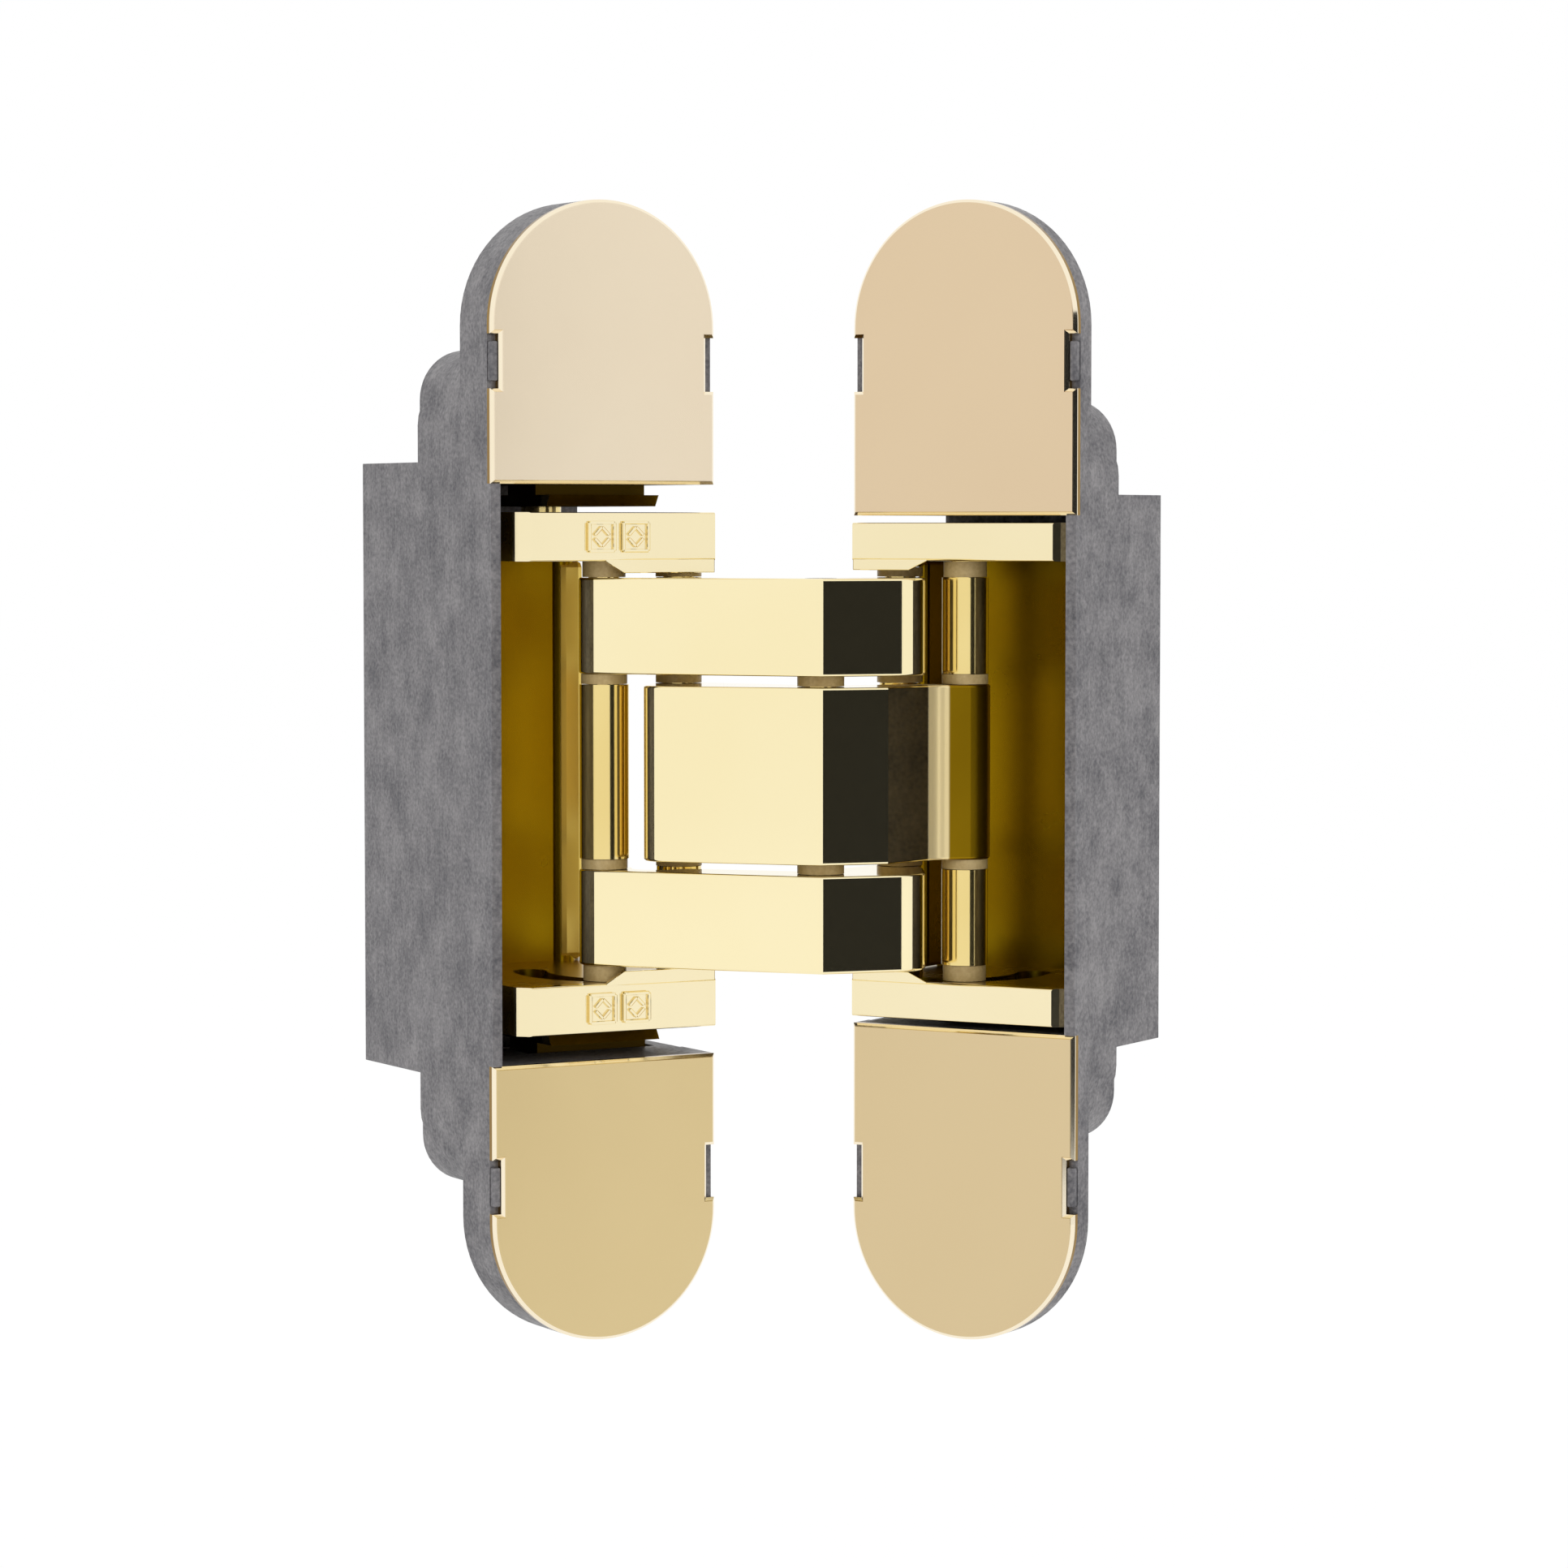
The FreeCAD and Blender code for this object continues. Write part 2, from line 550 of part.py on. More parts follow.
def carrier(label, side, place, data, path):
    """Two blocks joined by a back wall, with slots for a slider pin and pads for a pivot."""
    body = new_body(label, place)
    width = size.leafWidth
    front = size.carrierFront
    back = data["carrier_back"]
    start = data["carrier_start"]
    top = data["block_top"]
    under = size.blockUnder
    wall = data["carrier_wall"]
    sketch = new_sketch(body, "YZ_Plane", start * side, "CarrierSection")
    draw_polygon(sketch, [(front, -top), (back, -top), (back, top), (front, top),
                          (front, under), (back - wall, under), (back - wall, -under),
                          (front, -under)])
    pad(body, sketch, width - start, "CarrierCasting", side < 0)
    if data["lip"]:
        cut_wall_end(body, back, wall)
    pivot = (data["pivot_across"] * side, data["pivot_deep"])
    grub = (data["screw_across"] * side, data["screw_deep"])
    start_x = (start * side).number
    front_y = front.number
    round_edges(body, size.facet, "OuterFacet",
                lambda e: runs_along(e, UPWARD) and abs(e.CenterOfMass.x - start_x) < 0.01
                and abs(e.CenterOfMass.y - front_y) < 0.01, chamfer=True)
    round_edges(body, size.blockEdge, "FrontEdges",
                lambda e: runs_along(e, ACROSS) and abs(e.CenterOfMass.y - front_y) < 0.01)
    for end, name in ((1, "Upper"), (-1, "Lower")):
        sketch = new_sketch(body, "XY_Plane", under * end, name + "PadOutline")
        draw_circle(sketch, *pivot, size.padRadius)
        pad(body, sketch, size.padRise, name + "Pad", end > 0)
        sketch = new_sketch(body, "XY_Plane", size.padFace * end, name + "PinHole")
        draw_circle(sketch, *pivot, size.pivotPin + size.pressFit)
        pocket(body, sketch, data["pin_reach"] - size.padFace, name + "PinHolePocket", end > 0)
        sketch = new_sketch(body, "XY_Plane", under * end, name + "SlotOutline")
        draw_wire(sketch, slot_outline(path, size.sliderPin.number + size.slotPlay.number))
        pocket(body, sketch, size.slotDeep, name + "Slot", end > 0)
        sketch = new_sketch(body, "XY_Plane", data["screw_face"] * end, name + "ScrewHole")
        draw_circle(sketch, *grub, data["screw_hole"])
        pocket(body, sketch, data["screw_hole_deep"], name + "ScrewHolePocket",
               data["screw_from_inside"] == (end > 0))
        for number, across in enumerate(data["marks"], start=1):
            sketch = new_sketch(body, "XZ_Plane", at_depth(front), "%sMark%d" % (name, number))
            middle = (under + top) / 2 * end
            draw_rectangle(sketch, across - size.markWide / 2, across + size.markWide / 2,
                           middle - size.markHigh / 2, middle + size.markHigh / 2)
            pad(body, sketch, size.markRise, "%sMarkPad%d" % (name, number))
    return body


def cut_wall_end(body, back, wall):
    """Stop the back wall short of the open side and round its end into a lip."""
    radius = size.lipRadius
    centre = size.wallEnd - radius
    deep = back - wall
    overlap = size.lipOverlap
    sketch = new_sketch(body, "XZ_Plane", at_depth(deep - overlap), "WallEnd")
    draw_rectangle(sketch, size.wallEnd, size.leafWidth + overlap,
                   -size.blockUnder, size.blockUnder)
    pocket(body, sketch, wall + overlap * 2, "WallEndCut", False)
    sketch = new_sketch(body, "XY_Plane", -size.blockUnder, "LipOutline")
    draw_circle(sketch, centre, deep + size.lipSink, radius)
    pad(body, sketch, size.blockUnder * 2, "Lip")


def slot_outline(path, half_width):
    """Edges of a slot along a smooth path: two sides and two round ends."""
    curve = Part.BSplineCurve()
    curve.interpolate(path)
    sides = {1: [], -1: []}
    tangents = []
    for point in path:
        tangent = curve.tangent(curve.parameter(point))[0]
        tangents.append(tangent)
        normal = tangent.cross(UPWARD)
        for side, points in sides.items():
            points.append(point + normal * (side * half_width))
    lines = {}
    for side, points in sides.items():
        lines[side] = Part.BSplineCurve()
        lines[side].interpolate(points)
    reach = half_width + size.slotEndPlay.number
    ends = []
    for end, outward in ((0, -1), (-1, 1)):
        tip = path[end] + tangents[end] * (outward * reach)
        ends.append(Part.Arc(sides[1][end], tip, sides[-1][end]))
    return [lines[1], ends[1], lines[-1], ends[0]]


# Arms: bent plates with round ends, cut back where another pin's sleeve passes

def tangent_normal(start, start_radius, finish, finish_radius, side):
    """Unit normal of the line that touches both circles; side 1 is right of the way along."""
    way = finish - start
    along = Vector(way).normalize()
    right = Vector(along.y, -along.x, 0)
    slope = (start_radius - finish_radius) / way.Length
    return along * slope + right * (side * math.sqrt(1 - slope * slope))


def disc_outline(discs):
    """Outline round a ring of discs, anticlockwise, touching each; a radius of 0 is a corner."""
    count = len(discs)
    normals = [tangent_normal(*discs[i], *discs[(i + 1) % count], 1) for i in range(count)]
    edges = []
    for i, (centre, radius) in enumerate(discs):
        arriving = normals[i - 1]
        leaving = normals[i]
        if radius > 0:
            first = math.degrees(math.atan2(arriving.y, arriving.x))
            turn = (math.degrees(math.atan2(leaving.y, leaving.x)) - first) % 360
            edges.append(Part.Arc(centre + arriving * radius,
                                  centre + heading(first + turn / 2) * radius,
                                  centre + leaving * radius))
        following, next_radius = discs[(i + 1) % count]
        edges.append(Part.LineSegment(centre + leaving * radius,
                                      following + leaving * next_radius))
    return edges


def front_corner():
    """The corner in front of the crossing pin where every arm's two front faces meet."""
    middle_way = size.faceHeading.number + size.faceTurn.number / 2
    return crossing + heading(middle_way - 90) * size.cornerReach.number


def rear_corner(rear, rear_radius, front, front_radius):
    """The inner corner behind the crossing pin."""
    bulge = size.cornerRear.number
    first = tangent_normal(front, front_radius, crossing, bulge, 1)
    second = tangent_normal(crossing, bulge, rear, rear_radius, 1)
    start = crossing + first * bulge
    way = first.cross(UPWARD)
    share = (crossing + second * bulge - start).dot(second) / way.dot(second)
    return start + way * share


def middle_arm_plan():
    corner = front_corner()
    rear_way = heading(size.faceHeading.number)
    rear_normal = heading(size.faceHeading.number - 90)
    breast_heading = size.faceHeading.number + size.faceTurn.number
    shoulder_radius = size.middleShoulder.number
    shoulder = corner - rear_way * size.middleFace.number - rear_normal * shoulder_radius
    breast = corner + heading(breast_heading) * size.middleBreast.number
    neck = breast + heading(breast_heading + size.neckTurn.number) * size.middleNeck.number
    eye = size.eyeRadius.number
    inner = rear_corner(framePivot, eye, doorSlider, eye)
    discs = [(framePivot, eye), (shoulder, shoulder_radius), (corner, 0), (breast, 0), (neck, 0),
             (doorSlider, eye), (inner, 0)]
    rounds = [("FrontCorner", corner, size.armRound), ("RearCorner", inner, size.armRound * 2),
              ("Neck", neck, size.neckHollow)]
    return disc_outline(discs), rounds


def outer_arm_plan():
    corner = front_corner()
    way = size.faceHeading.number + size.faceTurn.number
    shoulder_radius = size.outerShoulder.number
    shoulder = (corner + heading(way) * size.outerFace.number
                - heading(way - 90) * shoulder_radius)
    inner = rear_corner(frameSlider, size.eyeRadius.number, doorPivot, size.doorEye.number)
    discs = [(frameSlider, size.eyeRadius.number), (corner, 0), (shoulder, shoulder_radius),
             (doorPivot, size.doorEye.number), (inner, 0)]
    rounds = [("FrontCorner", corner, size.armRound), ("RearCorner", inner, size.armRound * 2)]
    return disc_outline(discs), rounds


def relief_outline(passing, low_turn, high_turn, half_width):
    """Kidney-shaped path of a sleeve round the crossing pin, as this arm sees it."""
    reach = (passing - crossing).Length
    start = math.degrees(math.atan2((passing - crossing).y, (passing - crossing).x))
    edges = []
    spots = {}
    for where, angle in (("low", start + low_turn), ("mid", start + (low_turn + high_turn) / 2),
                         ("high", start + high_turn)):
        for side in (-1, 1):
            spots[where, side] = crossing + heading(angle) * (reach + side * half_width)
    for side in (-1, 1):
        edges.append(Part.Arc(spots["low", side], spots["mid", side], spots["high", side]))
    low_cap = crossing + heading(start + low_turn) * reach
    low_cap += heading(start + low_turn - 90) * half_width
    high_cap = crossing + heading(start + high_turn) * reach
    high_cap += heading(start + high_turn + 90) * half_width
    edges.append(Part.Arc(spots["low", -1], low_cap, spots["low", 1]))
    edges.append(Part.Arc(spots["high", -1], high_cap, spots["high", 1]))
    return edges


def arm(label, low, height, plan, bores, reliefs):
    body = new_body(label)
    sketch = new_sketch(body, "XY_Plane", low, "ArmPlan")
    outline, rounds = plan
    draw_wire(sketch, outline)
    pad(body, sketch, height, "ArmPlate")
    for name, spot, radius in rounds:
        round_edges(body, radius, name,
                    lambda e: runs_along(e, UPWARD)
                    and math.hypot(e.CenterOfMass.x - spot.x, e.CenterOfMass.y - spot.y) < 0.01)
    for number, relief in enumerate(reliefs, start=1):
        sketch = new_sketch(body, "XY_Plane", low, "SleeveRelief%d" % number)
        draw_wire(sketch, relief)
        pocket(body, sketch, height, "SleeveReliefCut%d" % number, True)
    rims = (low.number, (low + height).number)
    round_edges(body, size.rimRound, "Rims",
                lambda e: min(abs(e.BoundBox.ZMin - rim) + abs(e.BoundBox.ZMax - rim)
                              for rim in rims) < 0.01)
    for name, spot, radius in bores:
        sketch = new_sketch(body, "XY_Plane", low, name)
        circle = Part.Circle(spot, UPWARD, radius.number)
        sketch.addGeometry(circle)
        index = sketch.addConstraint(Sketcher.Constraint("Radius", 0, radius.number))
        sketch.setExpression("Constraints[%d]" % index, radius.text)
        pocket(body, sketch, height, name + "Pocket", True)
    return body


# Turned pieces: pins, sleeves and washers, each group of like pieces in one node

def cylinder(name, spot, radius, low, high):
    """An upright cylinder from low to high, its size bound to the sheet."""
    piece = doc.addObject("Part::Cylinder", name)
    for key, length in (("Radius", radius), ("Height", high - low)):
        setattr(piece, key, length.number)
        piece.setExpression(key, length.text)
    piece.Placement = framePlace.multiply(
        Placement(Vector(spot.x, spot.y, low.number), Rotation()))
    piece.setExpression("Placement.Base.z", low.text)
    return piece


def pin(label, spot, radius, reach, edge=0.3):
    """A pin through the middle of the hinge, with a small bevel at both ends."""
    shank = cylinder(label + "_shank", spot, radius, -reach, reach)
    doc.recompute()
    bevelled = doc.addObject("Part::Chamfer", label + "_bevel")
    bevelled.Base = shank
    bevelled.Edges = [(i + 1, edge, edge) for i, rim in enumerate(shank.Shape.Edges)
                      if isinstance(rim.Curve, Part.Circle)]
    return keep(bevelled, label)


def rings(label, spot, outer, bore, spans):
    """Sleeves or washers on one pin: a tube for each (low, high) span."""
    tubes = []
    for number, (low, high) in enumerate(spans, start=1):
        name = "%s_%d" % (label, number)
        tube = doc.addObject("Part::Cut", name)
        tube.Base = cylinder(name + "_outside", spot, outer, low, high)
        tube.Tool = cylinder(name + "_bore", spot, bore, low - 1, high + 1)
        tubes.append(tube)
    if len(tubes) == 1:
        return keep(tubes[0], label)
    group = doc.addObject("Part::Compound", label + "_group")
    group.Links = tubes
    return keep(group, label)


def both_ends(low, high):
    return [(low, high), (-high, -low)]


# Adjusting pieces between the frame housing and the frame carrier

def cross_slide(label, end):
    """A plate that slides across the pocket, its tongue in the end wall's groove."""
    body = new_body(label)
    inner = size.plateLow
    outer = size.plateHigh
    left = size.plateInset
    sketch = new_sketch(body, "YZ_Plane", left, "SlideSection")
    rise = size.framePocketHalf + size.tongueHigh
    front = size.plateFront
    tongue = size.tongueFront
    points = [(front + size.plateBevel, inner), (front + size.plateDeep, inner),
              (front + size.plateDeep, outer), (tongue + size.tongueDeep, outer),
              (tongue + size.tongueDeep, rise), (tongue, rise), (tongue, outer),
              (front, outer)]
    draw_polygon(sketch, [(across, up * end) for across, up in points])
    pad(body, sketch, size.plateWide, "Slide")
    sketch = new_sketch(body, "XY_Plane", inner * end, "HeightScrewHole")
    draw_circle(sketch, left + size.plateWide / 2, size.heightScrewDeep,
                size.heightScrew + size.pressFit)
    pocket(body, sketch, size.plateThickness, "HeightScrewHolePocket", end > 0)
    return body


def cut_grooves(body):
    """Grooves for the cross slides' tongues, and the room that their travel needs."""
    left = size.plateInset - size.sideTravel - size.slidePlay
    right = size.plateInset + size.plateWide + size.sideTravel + size.slidePlay
    front = size.tongueFront - size.slidePlay
    back = size.tongueFront + size.tongueDeep + size.slidePlay
    for end, name in ((1, "Upper"), (-1, "Lower")):
        sketch = new_sketch(body, "XY_Plane", size.framePocketHalf * end, name + "Groove")
        draw_rectangle(sketch, left, right, front, back)
        pocket(body, sketch, size.tongueHigh + size.slidePlay, name + "GrooveCut", end > 0)


def grub_screw(label, end):
    """A set screw between the door carrier and the end of its pocket, socket inward."""
    body = new_body(label, doorPlace)
    spot = (-size.clampAcross, size.clampDeep)
    face = size.blockUnder + size.stackPlay
    sketch = new_sketch(body, "XY_Plane", face * end, "ScrewShank")
    draw_circle(sketch, *spot, size.clampScrew)
    pad(body, sketch, size.doorPocketHalf - face, "Shank", end < 0)
    sketch = new_sketch(body, "XY_Plane", face * end, "Socket")
    turns = [math.radians(360 * k / HEXAGON) for k in range(HEXAGON)]
    corners = [(spot[0] + size.clampSocket * round(math.cos(turn), DECIMALS),
                spot[1] + size.clampSocket * round(math.sin(turn), DECIMALS)) for turn in turns]
    draw_polygon(sketch, corners)
    pocket(body, sketch, size.clampSocketDeep, "SocketCut", end > 0)
    return body


frameData = {
    "half": size.frameHalf, "flange": size.frameFlange, "boss": size.frameBoss,
    "boss_half": size.framePocketHalf + size.frameBossBeyond,
    "pocket_half": size.framePocketHalf, "end_wall": size.frameEndWall,
    "depth": size.frameDepth, "floor": size.frameFloor, "side_wall": size.frameSideWall,
    "outer_screw": size.frameHalf - size.frameScrewFromEnd,
    "inner_screw": size.framePocketHalf + size.frameScrewBeyond,
    "peg_low": size.framePocketHalf + size.framePegBeyond,
    "peg_high": size.frameHalf - size.framePegFromEnd,
    "carrier_start": size.frameSideWall + size.frameSidePlay,
    "carrier_back": size.frameCarrierBack, "carrier_wall": size.frameCarrierWall,
    "block_top": size.frameBlockTop, "lip": True, "marks": (size.leafWidth - size.markFirst, size.leafWidth - size.markSecond),
    "pivot_across": size.framePivotAcross, "pivot_deep": size.framePivotDeep,
    "pin_reach": size.frameBlockTop - size.pinEndWall,
    "screw_across": size.plateInset + size.plateWide / 2, "screw_deep": size.heightScrewDeep,
    "screw_face": size.frameBlockTop, "screw_hole": size.heightScrew + size.runningFit,
    "screw_hole_deep": size.heightScrewReach + size.heightTravel + size.stackPlay,
    "screw_from_inside": False,
}
doorData = {
    "half": size.doorHalf, "flange": size.doorFlange, "boss": size.doorBoss,
    "boss_half": size.doorPocketHalf + size.doorBossBeyond,
    "pocket_half": size.doorPocketHalf, "end_wall": size.doorEndWall,
    "depth": size.doorDepth, "floor": size.doorFloor, "side_wall": size.doorSideWall,
    "outer_screw": size.doorHalf - size.doorScrewFromEnd,
    "inner_screw": size.doorPocketHalf + size.doorScrewBeyond,
    "peg_low": size.doorPocketHalf + size.doorPegBeyond,
    "peg_high": size.doorHalf - size.doorPegFromEnd,
    "carrier_start": size.doorSideWall + size.doorCarrierPlay,
    "carrier_back": size.doorCarrierBack, "carrier_wall": size.doorCarrierWall,
    "block_top": size.doorBlockTop, "lip": False, "marks": (),
    "pivot_across": size.doorPivotAcross, "pivot_deep": size.doorPivotDeep,
    "pin_reach": size.doorBlockTop - size.pinEndWall,
    "screw_across": size.clampAcross, "screw_deep": size.clampDeep,
    "screw_face": size.blockUnder, "screw_hole": size.clampScrew + size.pressFit,
    "screw_hole_deep": size.doorBlock,
    "screw_from_inside": True,
}

framePath, doorPath = slider_path()

frameHousing = leaf_housing("frame_housing", 1, None, frameData)
cut_grooves(frameHousing)
leaf_housing("door_housing", -1, doorPlace, doorData)
for end, where in ((1, "top"), (-1, "bottom")):
    cover_plate("frame_cover_" + where, 1, end, None, frameData)
    cover_plate("door_cover_" + where, -1, end, doorPlace, doorData)
    cross_slide("slide_plate_" + where, end)
    screwInner = size.frameBlockTop - size.heightScrewReach
    screwOuter = size.plateHigh
    screwSpot = Vector((size.plateInset + size.plateWide / 2).number,
                       size.heightScrewDeep.number, 0)
    screwLow, screwHigh = (screwInner, screwOuter) if end > 0 else (-screwOuter, -screwInner)
    keep(cylinder("HeightScrew" + where, screwSpot, size.heightScrew, screwLow, screwHigh),
         "height_screw_" + where)
    grub_screw("door_clamp_screw_" + where, end)
carrier("frame_carrier", 1, None, frameData, framePath)
carrier("door_carrier", -1, doorPlace, doorData, doorPath)

# The arms turn through these angles as the hinge closes and opens. Each arm sees the other
# arm's end pin pass on an arc round the crossing pin.
closing = -size.restOpening.number
opening = (size.fullOpening - size.restOpening).number
shareGap = size.middleShare.number - size.outerShare.number


def seen_from_outer(passing, sleeve):
    return relief_outline(passing, shareGap * closing, shareGap * opening,
                          sleeve.number + size.reliefPlay.number)


def seen_from_middle(passing, sleeve):
    return relief_outline(passing, -shareGap * opening, -shareGap * closing,
                          sleeve.number + size.reliefPlay.number)


turning = size.pivotPin + size.runningFit
held = size.pivotPin + size.pressFit
heldSlider = size.sliderPin + size.pressFit
arm("middle_arm", -size.middleHalf, size.middleHalf * 2, middle_arm_plan(),
    (("FramePivotBore", framePivot, turning), ("CrossingBore", crossing, held),
     ("SliderBore", doorSlider, heldSlider)),
    [seen_from_middle(doorPivot, size.doorSleeve),
     seen_from_middle(frameSlider, size.frameSliderSleeve)])
for end, where in ((1, "top"), (-1, "bottom")):
    arm("outer_arm_" + where, size.outerLow if end > 0 else -size.outerHigh,
        size.outerHeight, outer_arm_plan(),
        (("SliderBore", frameSlider, heldSlider), ("CrossingBore", crossing, turning),
         ("DoorPivotBore", doorPivot, turning)),
        [seen_from_outer(framePivot, size.frameSleeve),
         seen_from_outer(doorSlider, size.doorSliderSleeve)])

pin("frame_pivot_pin", framePivot, size.pivotPin, frameData["pin_reach"])
pin("door_pivot_pin", doorPivot, size.pivotPin, doorData["pin_reach"])
pin("centre_pin", crossing, size.pivotPin, size.outerHigh - 0.2)
sliderReach = size.blockUnder + size.slotDeep - 0.3
pin("frame_slider_pin", frameSlider, size.sliderPin, sliderReach)
pin("door_slider_pin", doorSlider, size.sliderPin, sliderReach)

play = size.stackPlay
betweenArms = (size.middleHalf + play, size.outerLow - play)
besideBlock = (size.outerHigh + play, size.padFace - play)
besideSlot = (size.outerHigh + play, size.blockUnder - play)
outerSpan = (size.outerLow, size.outerHigh)
middleSpan = (-size.middleHalf, size.middleHalf)
sleeveBore = size.pivotPin + size.runningFit
sliderBore = size.sliderPin + size.runningFit

rings("frame_pivot_sleeves", framePivot, size.frameSleeve, sleeveBore, both_ends(*outerSpan))
rings("frame_pivot_washers", framePivot, size.washerRadius, sleeveBore,
      both_ends(*betweenArms) + both_ends(*besideBlock))
rings("door_pivot_sleeve", doorPivot, size.doorSleeve, sleeveBore, [middleSpan])
rings("door_pivot_washers", doorPivot, size.washerRadius, sleeveBore,
      both_ends(*betweenArms) + both_ends(*besideBlock))
rings("centre_washers", crossing, size.washerRadius, sleeveBore, both_ends(*betweenArms))
rings("frame_slider_sleeve", frameSlider, size.frameSliderSleeve, sliderBore, [middleSpan])
rings("frame_slider_washers", frameSlider, size.washerRadius, sliderBore,
      both_ends(*betweenArms))
rings("frame_slider_end_washers", frameSlider, size.endWasher, sliderBore,
      both_ends(*besideSlot))
rings("door_slider_sleeves", doorSlider, size.doorSliderSleeve, sliderBore,
      both_ends(*outerSpan))
rings("door_slider_washers", doorSlider, size.washerRadius, sliderBore,
      both_ends(*betweenArms))
rings("door_slider_end_washers", doorSlider, size.endWasher, sliderBore,
      both_ends(*besideSlot))

doc.recompute()
failed = [thing.Name for thing in doc.Objects
          if "Invalid" in thing.State or "Error" in thing.State]
if failed:
    raise RuntimeError("failed objects: " + ", ".join(failed))
for piece in PARTS:
    if piece.Shape.isNull() or not piece.Shape.isValid():
        raise RuntimeError("bad shape: " + piece.Label)
for piece in PARTS:
    piece.Shape.exportStep("parts/%s.step" % piece.Label)
print("%d nodes written" % len(PARTS))
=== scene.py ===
import math

import bmesh
import bpy
from mathutils import Matrix, Vector


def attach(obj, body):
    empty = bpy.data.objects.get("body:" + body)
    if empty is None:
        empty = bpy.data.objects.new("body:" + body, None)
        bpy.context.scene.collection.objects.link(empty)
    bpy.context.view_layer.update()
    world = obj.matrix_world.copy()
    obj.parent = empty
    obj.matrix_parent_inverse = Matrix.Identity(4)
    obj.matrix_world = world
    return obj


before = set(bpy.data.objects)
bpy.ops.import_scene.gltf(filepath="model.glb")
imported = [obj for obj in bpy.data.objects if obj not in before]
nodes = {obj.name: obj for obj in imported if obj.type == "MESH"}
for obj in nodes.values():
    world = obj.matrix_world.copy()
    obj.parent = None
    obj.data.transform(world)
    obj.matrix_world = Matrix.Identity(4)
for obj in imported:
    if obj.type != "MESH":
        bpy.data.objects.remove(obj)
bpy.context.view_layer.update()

# The photographer's own axes: X to the right, Y away from the lens, Z up. They are turned from
# the hinge's frame about Z, and start at the frame leaf's outer front edge.
studio = {
    "turn": -30.0,  # degrees from the studio's axes to the hinge's
    "start": (-0.0121, -0.0068, 0.0),  # the frame leaf's outer front edge, mid height
}


def hingeTurn():
    return Matrix.Rotation(math.radians(studio["turn"]), 4, "Z")


def inHingeFrame(place):
    return hingeTurn() @ Vector(place) + Vector(studio["start"])


def linear(red, green, blue):  # from the 0 to 255 of a colour picker to Blender's own scale
    def one(value):
        value = value / 255
        return value / 12.92 if value <= 0.04045 else ((value + 0.055) / 1.055) ** 2.4

    return (one(red), one(green), one(blue), 1.0)


# Node helpers

def addNode(tree, kind, place, **values):
    node = tree.nodes.new(kind)
    node.location = place
    for name, value in values.items():
        setattr(node, name, value)
    return node


def link(tree, fromSocket, toSocket):
    tree.links.new(fromSocket, toSocket)


def mathNode(tree, operation, first, second, place):
    node = addNode(tree, "ShaderNodeMath", place, operation=operation)
    for socket, value in zip(node.inputs, (first, second)):
        if isinstance(value, (int, float)):
            socket.default_value = value
        elif value is not None:
            link(tree, value, socket)
    return node.outputs[0]


mixSockets = {"RGBA": (6, 2), "FLOAT": (2, 0)}  # first input and output of a Mix node


def mixNode(tree, kind, factor, first, second, place):
    node = addNode(tree, "ShaderNodeMix", place, data_type=kind)
    link(tree, factor, node.inputs["Factor"])
    firstInput, output = mixSockets[kind]
    for offset, value in enumerate((first, second)):
        if isinstance(value, float):
            node.inputs[firstInput + offset].default_value = value
        else:
            link(tree, value, node.inputs[firstInput + offset])
    return node.outputs[output]


def addBump(tree, height, strength, distance):
    bump = addNode(tree, "ShaderNodeBump", (-260, -300))
    bump.inputs["Strength"].default_value = strength
    bump.inputs["Distance"].default_value = distance
    link(tree, height, bump.inputs["Height"])
    link(tree, bump.outputs["Normal"], tree.nodes["Principled BSDF"].inputs["Normal"])


def newGroup(name, inputs, outputs):
    group = bpy.data.node_groups.new(name, "ShaderNodeTree")
    for label, kind, value in inputs:
        socket = group.interface.new_socket(name=label, in_out="INPUT", socket_type=kind)
        socket.default_value = value
    for label, kind in outputs:
        group.interface.new_socket(name=label, in_out="OUTPUT", socket_type=kind)
    start = addNode(group, "NodeGroupInput", (-900, 0))
    end = addNode(group, "NodeGroupOutput", (900, 0))
    return group, start, end


# Fine mottled grain of a tumbled casting: colour patches, roughness patches and a height
castLook = {
    "patchDetail": 9, "patchRoughness": 0.72, "patchShare": 0.5,
    "grainDetail": 3, "grainShare": 0.38,
    "markDetail": 2, "markShare": 0.12,
    "markScale": 0.5,  # against the grain's own scale
    "markStretch": 0.16,  # the tumbling marks run up and down
    "darkLevel": 0.38, "lightLevel": 0.62,  # noise that gives the two colours
}


